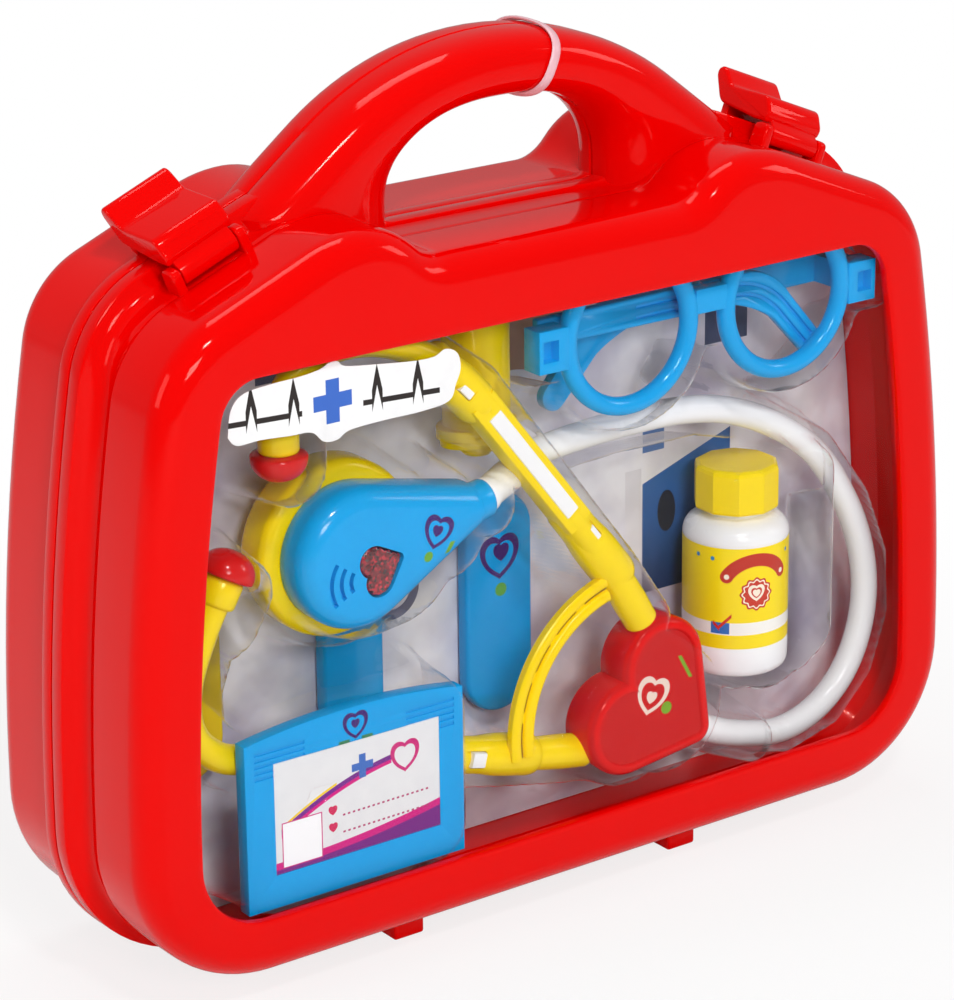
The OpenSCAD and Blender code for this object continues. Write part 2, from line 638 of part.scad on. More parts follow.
// Chest piece: blue shell on a yellow disc
chest_x = -66;
chest_z = 16.5;
chest_t = 13;
chest_skin = 1.8;
neck_x = 42;
neck_z = 7;
neck_r = 6.3;
disc_t = 14;
neck_y = toys_d + chest_t - neck_r;
disc_y = toys_d + chest_t;
module chest_place() translate([chest_x, 0, chest_z]) children();
module chest_form(in) hull() {
    along_y(toys_d + 5, chest_t - 5 + in, chest_r - in, $fn = 40);
    along_y(toys_d + in, 2, chest_r - 5, $fn = 40);
    translate([neck_x - 4, neck_y, neck_z]) rotate([0, 90, 0]) cylinder(h = 4, r = neck_r - in, $fn = 24);
}
heart_button_x = 2.9;
heart_button_z = -3.2;
button_r = 4.3;
button_turn = 109;
module button_2d(r) rotate(button_turn) heart_2d(r);
module chest_shell() color(toy_blue) in_window() chest_place() difference() {
    chest_form(0);
    difference() {
        chest_form(chest_skin);
        translate([neck_x - 12, 0, -20]) cube([20, 60, 50]);
    }
    translate([heart_button_x, 0, heart_button_z]) upright(toys_d - 1, 6) button_2d(button_r + gap);
    for (r = [5, 8, 11]) translate([-0.5, 0, -4.7]) upright(toys_d - 1, 6) intersection() {
        difference() {
            circle(r + 0.6);
            circle(r - 0.6);
        }
        polygon([[0, 0], [-14, 9.8], [-14, -9]]);
    }
    translate([neck_x - 6, neck_y, neck_z]) rotate([0, 90, 0]) cylinder(h = 8, r = 3 + press_gap);
}
module chest_disc() color(toy_yellow) in_window() chest_place() difference() {
    translate([0, disc_y, 0]) rotate([-90, 0, 0]) rotate_extrude() polygon([
        [0, 0], [disc_r - 4, 0], [disc_r - 1, 1.2], [disc_r, 4], [disc_r, disc_t - 5],
        [disc_r - 2.5, disc_t - 1], [disc_r - 5, disc_t], [0, disc_t]]);
    along_y(disc_y - 1, disc_t - 1, chest_r - 3);
}
module tube_connector() color("white") in_window() difference() {
    union() {
        translate([chest_x + neck_x - 6, neck_y, chest_z + neck_z]) rotate([0, 90, 0]) cylinder(h = 6, r = 3);
        hull() {
            translate([chest_x + neck_x, neck_y, chest_z + neck_z]) rotate([0, 90, 0])
                cylinder(h = 2, r = 4.6, $fn = 24);
            translate([-7.5, tube_d, 29]) rotate([0, 82, 0]) cylinder(h = 1.4, r = 4.6, $fn = 24);
        }
    }
    tube(white_route, white_tube_r + 0.02, 3);
}

// Inside the chest piece: button, board with its switch, cells and speaker
flange_t = 1.2;
board_d = disc_y + 2.2;
switch_r = 3;
module heart_button() color([0.5, 0, 0.05, 0.8]) in_window() chest_place()
    translate([heart_button_x, 0, heart_button_z]) {
        upright(toys_d + 0.4, chest_skin + 1.2) button_2d(button_r);
        upright(toys_d + chest_skin + 1.2, flange_t) button_2d(button_r + 0.8);
    }
module circuit_board() color([0.1, 0.45, 0.2]) in_window() chest_place() {
    along_y(board_d, 1.6, chest_r - 3.2);
    translate([heart_button_x, 0, heart_button_z])
        along_y(toys_d + chest_skin + 1.2 + flange_t + button_travel + 0.15,
            board_d - toys_d - chest_skin - 1.35 - flange_t - button_travel, switch_r);
}
module button_cells() color("silver") in_window() chest_place()
    for (a = [0, 120, 240]) rotate([0, a, 0]) translate([9, 0, 0]) along_y(board_d + 1.6, 5.4, 5.8);
module speaker() color([0.2, 0.2, 0.22]) in_window() chest_place()
    translate([-9, 0, -3]) along_y(toys_d + 7.2, board_d - toys_d - 7.2, 7);

// Spring band between the arms, and the sleeves that hold it
band_r = 40.5;
band_c = [27, -50];
band_w = 3.2;
band_y = arm_d - 2.3;
band_t = 3;
module spring_band() color(toy_yellow) in_window()
    for (offset = [-band_w * 0.65, band_w * 0.65])
        upright(band_y, band_t) translate(band_c) difference() {
            intersection() {
                circle(band_r + offset + band_w / 2, $fn = 96);
                polygon([[0, 0], [-22, 60], [-60, 60], [-60, -7]]);
            }
            circle(band_r + offset - band_w / 2, $fn = 96);
        }
sleeve_r = 5.8;
module sleeve(p, turn, len) translate(p) rotate([0, turn, 0]) translate([0, 0, -len / 2])
    cylinder(h = len, r = sleeve_r);
module arm_sleeves() color(toy_yellow) in_window() difference() {
    union() {
        sleeve([14.6, arm_d + 1.2, -0.7], 143, 18);
        sleeve([-14, low_arm_d, -55.5], 104, 16);
    }
    tube(upper_arm, ear_tube_r + 0.05, 3);
    tube(lower_arm, ear_tube_r + 0.05, 3);
    band_slot();
}
module band_slot() upright(band_y - 0.05, band_t + 0.1) translate(band_c) difference() {
    circle(band_r + band_w * 1.2, $fn = 96);
    circle(band_r - band_w * 1.2, $fn = 96);
}

// Glasses with folded temples
ring_gap = 56;
glasses_x = 52;
glasses_z = 63.2;
glasses_d = toys_d + ring_tube_r + 0.3;
ring_mid_r = ring_r - ring_tube_r;
block_w = 10;
block_h = 12;
block_t = 7;
temple_t = 3;
temple_h = 8;
module glasses_ring(side) translate([glasses_x + side * ring_gap / 2, glasses_d, glasses_z])
    rotate([90, 0, 0]) rotate_extrude($fn = 64) translate([ring_mid_r, 0]) circle(ring_tube_r, $fn = 20);
module glasses_frame() color(toy_blue) in_window() {
    difference() {
        union() {
            for (side = [-1, 1]) glasses_ring(side);
            translate([glasses_x - 5.5, glasses_d - 2, glasses_z + 1]) cube([11, 4, 7]);
            for (side = [-1, 1])
                translate([glasses_x + side * (ring_gap / 2 + ring_r + block_w / 2 - 1.5) - block_w / 2,
                    glasses_d - 2.5, glasses_z - block_h / 2]) cube([block_w, block_t, block_h]);
        }
        for (side = [-1, 1])
            translate([glasses_x + side * (ring_gap / 2 + ring_r + block_w / 2 - 0.5) - 2.6,
                glasses_d - 4, glasses_z - 3]) cube([5.2, 5, 6]);
    }
}
temple_len = 69.5;
temple_bend = 48;
temple_bend_r = 24;
temple_leg = 17;
temple_swell = 1.4;
temple_steps = 8;
// Centre line of a temple: [x, z, direction], straight, bent, and straight again to its tip
temple_line = concat([[0, 0, 0]],
    [for (i = [0:temple_steps]) let (a = temple_bend * i / temple_steps)
        [temple_len + temple_bend_r * sin(a), temple_bend_r * (cos(a) - 1), a]],
    [[temple_len + temple_bend_r * sin(temple_bend) + temple_leg * cos(temple_bend),
      temple_bend_r * (cos(temple_bend) - 1) - temple_leg * sin(temple_bend), temple_bend]]);
temple_last = len(temple_line) - 1;
function temple_side(i, share) =
    let (p = temple_line[i], half = temple_h / 2 + temple_swell * sin(180 * i / temple_last))
    [p[0] + share * half * sin(p[2]), p[1] + share * half * cos(p[2])];
temple_tip = [temple_line[temple_last][0], temple_line[temple_last][1]];
module temple(y) upright(y, temple_t) polygon(concat(
    [for (i = [0:temple_last]) temple_side(i, 1)],
    [for (i = [1:11]) polar(temple_tip, temple_h / 2, 90 - temple_bend - 15 * i)],
    [for (i = [temple_last:-1:0]) temple_side(i, -1)]));
left_hinge_x = glasses_x - ring_gap / 2 - ring_r - block_w / 2 + 1.5;
right_hinge_x = glasses_x + ring_gap / 2 + ring_r + block_w / 2 - 1.5;
temple_left_d = glasses_d - 2.5 + block_t + 0.3;
temple_right_d = temple_left_d + temple_t + 6;
module glasses_temple_left() color(toy_blue) in_window()
    translate([left_hinge_x, 0, glasses_z + 3]) temple(temple_left_d);
module glasses_temple_right() color(toy_blue) in_window() {
    translate([right_hinge_x, 0, glasses_z + 1]) mirror([1, 0, 0]) temple(temple_right_d);
    translate([right_hinge_x - 4, temple_left_d - 0.3, glasses_z - 3])
        cube([8, temple_right_d - temple_left_d + 0.3, temple_h]);
}

// Bottle with a screw cap and a wrapped label
bottle_x = 74;
bottle_z = -50.7;
bottle_r = (card_d - bottle_gap - toys_d) / 2;
bottle_y = toys_d + bottle_r;
neck_bottle_r = 9.2;
cap_z = bottle_h - cap_h;
label_t = 0.3;
label_z = 9.5;
label_h = 31;
module bottle_place() in_window() translate([bottle_x, bottle_y, bottle_z]) children();
module bottle_body() color("white") bottle_place() rotate_extrude() polygon([
    [0, 0], [bottle_r - 3, 0], [bottle_r - 0.8, 0.8], [bottle_r, 3], [bottle_r, label_z],
    [bottle_r - label_t, label_z], [bottle_r - label_t, label_z + label_h],
    [bottle_r, label_z + label_h], [bottle_r, cap_z - 7], [bottle_r - 1.2, cap_z - 4],
    [bottle_r - 4, cap_z - 2], [neck_bottle_r, cap_z - 1.2], [neck_bottle_r, bottle_h - 2.4],
    [neck_bottle_r - 1.6, bottle_h - 2.4], [neck_bottle_r - 1.6, cap_z - 2.5],
    [bottle_r - 5.5, cap_z - 4], [bottle_r - 2, cap_z - 8], [bottle_r - 2, 2], [0, 2]]);
module bottle_label() color(toy_yellow) bottle_place() difference() {
    translate([0, 0, label_z]) cylinder(h = label_h, r = bottle_r);
    translate([0, 0, label_z - 1]) cylinder(h = label_h + 2, r = bottle_r - label_t);
}
module bottle_cap() color(toy_yellow) bottle_place() difference() {
    translate([0, 0, cap_z]) cylinder(h = cap_h, r = cap_r, $fn = 10);
    translate([0, 0, cap_z - 1]) cylinder(h = cap_h - 1, r = neck_bottle_r + pin_gap);
}

// Name card holder with an arched top and its paper label
holder_x = -107;
holder_z = -75.2;
holder_t = 4.4;
holder_arch = 3;
holder_arch_r = (holder_w * holder_w / 4 + holder_arch * holder_arch) / (2 * holder_arch);
holder_arch_a = asin(holder_w / 2 / holder_arch_r);
paper_w = 54;
paper_h = 32.5;
paper_x = 9;
paper_z = 9.5;
paper_t = 0.4;
module card_holder() color(toy_blue) in_window() translate([holder_x, 0, holder_z]) difference() {
    upright(toys_d, holder_t) polygon(concat([[0, 0], [holder_w, 0]],
        arc([holder_w / 2, holder_h + holder_arch - holder_arch_r], holder_arch_r,
            90 - holder_arch_a, 90 + holder_arch_a, 12)));
    translate([paper_x, toys_d - 1, paper_z]) cube([paper_w, 1 + paper_t, paper_h]);
    for (i = [0:4], x = [3, holder_w - 19])
        translate([x, toys_d - 1, holder_h - 3.5 - 1.8 * i]) cube([16, 1.5, 0.9]);
}
module card_label() color("white") in_window()
    translate([holder_x + paper_x + 0.1, toys_d + 0.1, holder_z + paper_z + 0.1])
        cube([paper_w - 0.2, paper_t - 0.1, paper_h - 0.2]);

// Toys behind the others, lying against the card
back_d = card_d - blister_t - 0.1;
spatula_t = 5;
module flat_toy(w, h, t) upright(back_d - t, t) {
    translate([-w / 2, -h / 2 + w / 2]) square([w, h - w]);
    for (side = [-1, 1]) translate([0, side * (h - w) / 2]) circle(w / 2);
}
module yellow_spatula() color(toy_yellow) in_window() translate([-108, 0, -14]) flat_toy(24, 64, spatula_t);
module blue_spatula() color(toy_blue) in_window() translate([-3, 0, -18]) flat_toy(23, 66, spatula_t);
module blue_tweezers() color(toy_blue) in_window() translate([-53, 0, -24]) flat_toy(20, 44, spatula_t);
syringe_r = 9.5;
syringe_z = 30.7;
module syringe_flange(z, h, r) translate([0, 0, z]) linear_extrude(h)
    polygon([for (a = [0:10:350]) [r * cos(a), 0.68 * r * sin(a)]]);
module yellow_syringe() color(toy_yellow) in_window()
    translate([-14, back_d - syringe_r - 0.3, syringe_z]) {
        cylinder(h = 1.2, r1 = 3.8, r2 = 4.9);
        translate([0, 0, 1.2]) cylinder(h = 3, r = 4.9);
        syringe_flange(3.6, 1.8, 11.2);
        translate([0, 0, 5]) cylinder(h = 2, r = syringe_r);
        syringe_flange(6, 3, 12.4);
        translate([0, 0, 8]) cylinder(h = 34, r = syringe_r);
    }

front_shell();
front_handle();
front_feet();
front_hinge_lugs();
hinge_pins();
window_pane();
window_sticker();
blister_tray();
backing_card();
latch_brackets();
latch_pins();
cable_tie();
rear_shell();
rear_handle();
rear_feet();
rear_hinge_lugs();
latch_left();
latch_right();
ear_tips();
ear_collars();
ear_tube_upper();
ear_tube_lower();
arm_sleeves();
spring_band();
heart_junction();
junction_badge();
stethoscope_tube();
tube_connector();
chest_shell();
chest_disc();
heart_button();
circuit_board();
button_cells();
speaker();
glasses_frame();
glasses_temple_left();
glasses_temple_right();
bottle_body();
bottle_cap();
bottle_label();
card_holder();
card_label();
yellow_syringe();
yellow_spatula();
blue_spatula();
blue_tweezers();
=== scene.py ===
import math
import bmesh
import bpy
from mathutils import Matrix, Vector, noise


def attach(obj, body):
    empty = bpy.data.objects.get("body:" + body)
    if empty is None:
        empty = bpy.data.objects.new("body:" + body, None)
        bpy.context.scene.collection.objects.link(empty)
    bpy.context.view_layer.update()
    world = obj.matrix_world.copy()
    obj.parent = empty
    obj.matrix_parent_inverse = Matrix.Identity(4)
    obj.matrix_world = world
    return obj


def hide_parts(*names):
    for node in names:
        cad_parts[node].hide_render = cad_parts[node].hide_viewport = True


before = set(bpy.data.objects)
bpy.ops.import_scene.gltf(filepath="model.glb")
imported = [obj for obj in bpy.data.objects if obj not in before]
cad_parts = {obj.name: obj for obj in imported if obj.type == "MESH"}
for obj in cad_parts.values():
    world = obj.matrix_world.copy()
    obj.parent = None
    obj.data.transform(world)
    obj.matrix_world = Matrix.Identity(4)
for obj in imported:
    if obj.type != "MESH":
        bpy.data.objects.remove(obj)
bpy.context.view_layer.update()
print("frame loaded")

# sizes are in millimetres from the case's left-right middle, its front face and the floor
millimetre = 0.001
halfDepth = 40.0       # the frame has y = 0 in the middle of the case's depth
seamMiddle = 41        # depth of the joint between the two shells
windowMiddle = 101.95  # height of the window's middle above the floor


def place(x, y, z):
    return Vector((x, y - halfDepth, z)) * millimetre


def inWindow(x, y, z):
    return place(x, y, z + windowMiddle)


# camera, lights and floor
cameraSetup = dict(target=(-33.27, -40.0, 130.28), turn=-35.784, lift=19.5, roll=-0.708,
                   distance=980.2, lens=131.4)


def deselectAll():
    if bpy.context.object and bpy.context.object.mode != "OBJECT":
        bpy.ops.object.mode_set(mode="OBJECT")
    bpy.ops.object.select_all(action="DESELECT")


def setUpCamera():
    turn, lift, roll = (math.radians(cameraSetup[key]) for key in ("turn", "lift", "roll"))
    away = Vector((math.sin(turn) * math.cos(lift), -math.cos(turn) * math.cos(lift), math.sin(lift)))
    level = (-away).cross(Vector((0, 0, 1))).normalized()
    upright = level.cross(-away)
    right = level * math.cos(roll) + upright * math.sin(roll)
    up = upright * math.cos(roll) - level * math.sin(roll)
    spot = (Vector(cameraSetup["target"]) + away * cameraSetup["distance"]) * millimetre
    deselectAll()
    bpy.ops.object.camera_add(location=spot)
    camera = bpy.context.object
    camera.matrix_world = Matrix.Translation(spot) @ Matrix((right, up, away)).transposed().to_4x4()
    camera.data.lens = cameraSetup["lens"]
    camera.data.sensor_width = 36
    camera.data.clip_start = 0.05
    camera.data.clip_end = 60
    bpy.context.scene.camera = camera


lampSetup = [  # name, place in metres, size, power
    dict(name="keyBox", spot=(-0.55, -1.45, 0.85), size=(0.42, 0.32), power=9),
    dict(name="leftBox", spot=(-1.5, 0.15, 0.75), size=(0.5, 0.7), power=4.4),
    dict(name="topBox", spot=(0.1, 0.35, 1.6), size=(0.7, 0.4), power=4.8),
    dict(name="rightBox", spot=(1.4, -0.9, 0.9), size=(0.4, 0.6), power=3.8),
    dict(name="stripBox", spot=(-0.4, -1.1, 1.5), size=(0.2, 0.16), power=9),
]


def setUpLamps():
    for lamp in lampSetup:
        deselectAll()
        bpy.ops.object.light_add(type="AREA", location=lamp["spot"])
        light = bpy.context.object
        light.name = lamp["name"]
        light.data.shape = "RECTANGLE"
        light.data.size, light.data.size_y = lamp["size"]
        light.data.energy = lamp["power"]
        aim = Vector((0, 0, 0.12)) - light.location
        light.rotation_euler = aim.to_track_quat("-Z", "Y").to_euler()
    world = bpy.data.worlds.new("studio")
    bpy.context.scene.world = world
    world.use_nodes = True
    tree = world.node_tree
    backdrop = tree.nodes["Background"]
    backdrop.inputs["Color"].default_value = (1, 1, 1, 1)
    path = tree.nodes.new("ShaderNodeLightPath")
    level = tree.nodes.new("ShaderNodeMapRange")
    level.inputs["To Min"].default_value = 0.33
    level.inputs["To Max"].default_value = 1.0
    tree.links.new(path.outputs["Is Camera Ray"], level.inputs["Value"])
    tree.links.new(level.outputs["Result"], backdrop.inputs["Strength"])
    bpy.context.scene.view_settings.view_transform = "Standard"


setUpCamera()
setUpLamps()


# shader maths
class Wire:
    # one socket of a material, with the operators that the patterns below use
    def __init__(self, finish, socket):
        self.finish, self.socket = finish, socket

    def math(self, operation, *others):
        return self.finish.node("Math", dict(operation=operation), *((self,) + others))

    def reversedMath(self, operation, other):
        return self.finish.node("Math", dict(operation=operation), other, self)

    def __add__(self, other):
        return self.math("ADD", other)

    __radd__ = __add__

    def __sub__(self, other):
        return self.math("SUBTRACT", other)

    def __rsub__(self, other):
        return self.reversedMath("SUBTRACT", other)

    def __mul__(self, other):
        return self.math("MULTIPLY", other)

    __rmul__ = __mul__

    def __truediv__(self, other):
        return self.math("DIVIDE", other)

    def __lt__(self, other):
        return self.math("LESS_THAN", other)

    def __gt__(self, other):
        return self.math("GREATER_THAN", other)

    def __pow__(self, other):
        return self.math("POWER", other)

    def __abs__(self):
        return self.math("ABSOLUTE")


class Finish:
    def __init__(self, name):
        self.material = bpy.data.materials.new(name)
        self.material.use_nodes = True
        self.tree = self.material.node_tree
        self.tree.nodes.clear()

    def node(self, kind, settings, *values, **named):
        made = self.tree.nodes.new("ShaderNode" + kind)
        for key, value in settings.items():
            if key == "stops":
                for i, (spot, colour) in enumerate(value):
                    stops = made.color_ramp.elements
                    stop = stops[i] if i < len(stops) else stops.new(spot)
                    stop.position, stop.color = spot, colour
            elif key == "out":
                pass
            else:
                setattr(made, key, value)
        for i, value in list(enumerate(values)) + list(named.items()):
            socket = made.inputs[i.replace("_", " ") if isinstance(i, str) else i]
            if isinstance(value, Wire):
                self.tree.links.new(value.socket, socket)
            elif value is not None:
                socket.default_value = value
        return Wire(self, made.outputs[settings.get("out", 0)]) if made.outputs else made

    def spots(self):
        # object coordinates in millimetres: x, height above the window's middle, and depth
        point = self.node("TexCoord", dict(out="Object"))
        axes = self.node("SeparateXYZ", {}, point)
        x, y, z = (Wire(self, axes.socket.node.outputs[i]) for i in range(3))
        return point, x * 1000, z * 1000 - windowMiddle, y * 1000 + halfDepth

    def mixed(self, mask, under, over):
        mix = self.node("Mix", dict(data_type="RGBA", out=2))
        node = mix.socket.node
        for socket, value in ((node.inputs[0], mask), (node.inputs[6], under), (node.inputs[7], over)):
            if isinstance(value, Wire):
                self.tree.links.new(value.socket, socket)
            else:
                socket.default_value = value
        return mix

    def grain(self, scale, detail=2.0, low=0.0, high=1.0):
        point = self.node("TexCoord", dict(out="Object"))
        cloud = self.node("TexNoise", {}, Vector=point, Scale=scale, Detail=detail)
        return cloud * (high - low) + low

    def done(self, shader):
        self.node("OutputMaterial", {}, shader)
        return self.material


def rgb(red, green, blue):
    # a colour as a screen shows it, turned into the light values that a shader takes
    return tuple(c / 12.92 if c <= 0.04045 else ((c + 0.055) / 1.055) ** 2.4
                 for c in (red / 255, green / 255, blue / 255)) + (1.0,)


def plastic(name, colour, gloss=0.16, wave=0.10, shine=0.5, tint=0.06, shineColour=None, pattern=None):
    # moulded plastic: slightly uneven gloss, the soft waves of a moulded wall and fine dust marks
    finish = Finish(name)
    shade = finish.grain(35, 3, 1 - tint, 1 + tint * 0.4)
    base = finish.mixed(shade.math("MINIMUM", 1.0), (0, 0, 0, 1), colour)
    if pattern:
        base = pattern(finish, base)
    smudge = finish.grain(90, 4, gloss * 0.75, gloss * 1.35)
    height = finish.grain(55, 2) * 0.8 + finish.grain(900, 2) * 0.05
    bump = finish.node("Bump", {}, Height=height, Strength=wave, Distance=0.0004)
    shader = finish.node("BsdfPrincipled", {}, Base_Color=base, Roughness=smudge, Normal=bump)
    shader.socket.node.inputs["Specular IOR Level"].default_value = shine
    if shineColour:
        shader.socket.node.inputs["Specular Tint"].default_value = shineColour
    return finish.done(shader)


def printed(name, pattern, gloss=0.35, crease=0.0):
    # paper print under a thin lacquer
    finish = Finish(name)
    base = pattern(finish, None)
    fibre = finish.node("Bump", {}, Height=finish.grain(1400, 4), Strength=0.12, Distance=0.0001)
    if crease:
        fold = finish.grain(24, 3) + finish.grain(70, 2) * 0.3
        fibre = finish.node("Bump", {}, Height=fold, Strength=crease, Distance=0.01, Normal=fibre)
    rough = finish.grain(120, 3, gloss * 0.8, gloss * 1.2)
    shader = finish.node("BsdfPrincipled", {}, Base_Color=base, Roughness=rough, Normal=fibre)
    shader.socket.node.inputs["Specular IOR Level"].default_value = 0.25
    return finish.done(shader)


def clearSheet(name, tint, face, edge, haze, wave):
    # thin clear sheet: light goes straight through; where it is seen edge-on it shines and looks milky
    finish = Finish(name)
    height = finish.grain(38, 2) + finish.grain(160, 2) * 0.12
    bump = finish.node("Bump", {}, Height=height, Strength=wave, Distance=0.002)
    facing = finish.node("LayerWeight", dict(out="Facing"), Blend=0.5, Normal=bump)
    through = finish.node("BsdfTransparent", {}, Color=tint)
    milky = finish.node("BsdfDiffuse", {}, Color=(0.9, 0.9, 0.92, 1), Normal=bump)
    body = finish.node("MixShader", {}, facing ** 7 * haze, through, milky)
    shine = finish.node("BsdfGlossy", {}, Color=(1, 1, 1, 1), Roughness=0.05, Normal=bump)
    return finish.done(finish.node("MixShader", {}, facing ** 4 * edge + face, body, shine))


def discMask(x, y, centreX, centreY, radius):
    across, along = x - centreX, y - centreY
    return across * across + along * along < radius * radius


def boxMask(x, y, centreX, centreY, width, height):
    return (abs(x - centreX) < width / 2) * (abs(y - centreY) < height / 2)


def heartMask(x, y, centreX, centreY, size, turn=0.0):
    turn = math.radians(turn)
    across, along = x - centreX, y - centreY
    u = (across * math.cos(turn) + along * math.sin(turn)) / size
    v = (along * math.cos(turn) - across * math.sin(turn)) / size
    body = u * u + v * v - 1
    return body * body * body < u * u * v * v * v


def heartLine(x, y, centreX, centreY, size, turn=0.0, inner=0.66):
    return (heartMask(x, y, centreX, centreY, size, turn)
            * (1 - heartMask(x, y, centreX, centreY, size * inner, turn)))


# making shapes
def moulded(name, rings, closed=False):
    # a ring of edges is extruded from section to section, and its ends are closed
    deselectAll()
    bpy.ops.mesh.primitive_circle_add(vertices=len(rings[0]), radius=0.1)
    piece = bpy.context.object
    piece.name = piece.data.name = name
    bpy.ops.object.mode_set(mode="EDIT")
    bpy.ops.mesh.select_mode(type="VERT")
    shape = bmesh.from_edit_mesh(piece.data)
    along = shape.verts.layers.int.new("along")
    for i, vert in enumerate(shape.verts):
        vert[along] = i
        vert.co = rings[0][i]
    bmesh.update_edit_mesh(piece.data)
    for ring in rings[1:] + (rings[:1] if closed else []):
        bpy.ops.mesh.extrude_region_move()
        shape = bmesh.from_edit_mesh(piece.data)
        along = shape.verts.layers.int["along"]
        for vert in shape.verts:
            if vert.select:
                vert.co = ring[vert[along]]
        bmesh.update_edit_mesh(piece.data)
    bpy.ops.mesh.select_all(action="SELECT")
    bpy.ops.mesh.remove_doubles(threshold=0.000002)
    if not closed:
        bpy.ops.mesh.select_all(action="DESELECT")
        bpy.ops.mesh.select_non_manifold()
        bpy.ops.mesh.fill_holes(sides=0)
    bpy.ops.mesh.select_all(action="SELECT")
    bpy.ops.mesh.normals_make_consistent(inside=False)
    bpy.ops.object.mode_set(mode="OBJECT")
    return piece


def curveLine(points, steps):
    line = []
    last = len(points) - 1
    for i in range(last):
        a, b, c, d = (Vector(points[max(0, min(last, i + k))]) for k in (-1, 0, 1, 2))
        for k in range(steps):
            t = k / steps
            line.append(0.5 * (2 * b + (c - a) * t + (2 * a - 5 * b + 4 * c - d) * t * t
                               + (3 * b - a - 3 * c + d) * t * t * t))
    return line + [Vector(points[-1])]


def activate(piece):
    deselectAll()
    piece.select_set(True)
    bpy.context.view_layer.objects.active = piece


def smooth(piece, angle=35):
    activate(piece)
    bpy.ops.object.shade_smooth_by_angle(angle=math.radians(angle))
    return piece


def softened(piece, width, segments=2, angle=30):
    activate(piece)
    bevel = piece.modifiers.new("edges", "BEVEL")
    bevel.width, bevel.segments = width * millimetre, segments
    bevel.limit_method, bevel.angle_limit = "ANGLE", math.radians(angle)
    bevel.miter_outer = "MITER_ARC"
    bpy.ops.object.modifier_apply(modifier="edges")
    return piece


def cut(piece, *cutters, operation="DIFFERENCE"):
    for cutter in cutters:
        activate(piece)
        trim = piece.modifiers.new("trim", "BOOLEAN")
        trim.operation, trim.object, trim.solver = operation, cutter, "EXACT"
        bpy.ops.object.modifier_apply(modifier="trim")
        bpy.data.objects.remove(cutter, do_unlink=True)
    return piece


def joined(name, *parts):
    activate(parts[0])
    for part in parts[1:]:
        part.select_set(True)
    if len(parts) > 1:
        bpy.ops.object.join()
    parts[0].name = parts[0].data.name = name
    return parts[0]


def dressed(node, name, edge=0.0, segments=2, angle=35):
    # a merged copy of a CAD node with rounded edges, which stands for the node
    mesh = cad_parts[node].data.copy()
    piece = bpy.data.objects.new(name, mesh)
    bpy.context.collection.objects.link(piece)
    mesh.name = name
    activate(piece)
    bpy.ops.object.mode_set(mode="EDIT")
    bpy.ops.mesh.select_all(action="SELECT")
    bpy.ops.mesh.customdata_custom_splitnormals_clear()
    bpy.ops.mesh.remove_doubles(threshold=0.00001)
    bpy.ops.mesh.dissolve_limited(angle_limit=math.radians(0.6))
    bpy.ops.object.mode_set(mode="OBJECT")
    if edge:
        softened(piece, edge, segments)
    smooth(piece, angle)
    return piece


def finished(piece, body, material, slotName, *nodes):
    piece.data.materials.clear()
    piece.data.materials.append(material)
    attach(piece, body)
    if nodes:
        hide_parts(*nodes)
    return piece


def coloured(node, material):
    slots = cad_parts[node].data.materials
    slots.clear()
    slots.append(material)


# the case's outline
caseSizes = dict(width=282, height=200.8, depth=80, foot=8.7, lowCorner=40, side=705, topCorner=31,
                 drop=44.4, slope=22.5, crown=40, dip=10.5, dipOuter=26, dipInner=14,
                 frontRound=8, rearRound=10, rearRise=4.6, rearDip=3.6, wall=2.2)
seamSizes = dict(flat=25.5, groove=2.5, grooveEnd=189, fade=18, out=3.5, rise=2.8, dip=5,
                 frontLip=40.85, frontWidth=5.4, rearLip=41.15, rearWidth=5.2)
windowSizes = dict(width=246, height=151.3, sill=17.6, lowCorner=20, topCorner=12)


def arc(centre, radius, start, end, steps, first=0):
    return [(centre[0] + radius * math.cos(math.radians(start + (end - start) * i / steps)),
             centre[1] + radius * math.sin(math.radians(start + (end - start) * i / steps)))
            for i in range(first, steps + 1)]


def polar(centre, radius, angle):
    return arc(centre, radius, angle, angle, 1)[0]


def sideLine(width, low, lowR, sideR, topR, topZ, last, inset):
    turn = math.degrees(math.asin((topZ - low - lowR) / (sideR - topR)))
    lowCentre, sideCentre = (width / 2 - lowR, low + lowR), (width / 2 - sideR, low + lowR)
    topCentre = polar(sideCentre, sideR - topR, turn)
    return (arc(lowCentre, lowR - inset, -90, 0, 18)
            + arc(sideCentre, sideR - inset, 0, turn, 12, 1)
            + arc(topCentre, topR - inset, turn, last, 16, 1)), topCentre


def wallLine(inset, rise):
    c = caseSizes
    return sideLine(c["width"], c["foot"], c["lowCorner"], c["side"], c["topCorner"],
                    c["foot"] + c["height"] + rise - c["drop"], 90 - c["slope"], inset)


def shoulderEnds(rise=0.0):
    c = caseSizes
    steep = math.radians(90 - c["slope"])
    low = Vector(polar(wallLine(0, rise)[1], c["topCorner"], 90 - c["slope"]))
    high = c["foot"] + c["height"] + rise - c["crown"] + c["crown"] * math.sin(steep)
    return low, Vector((low.x - (high - low.y) * math.tan(steep), high))


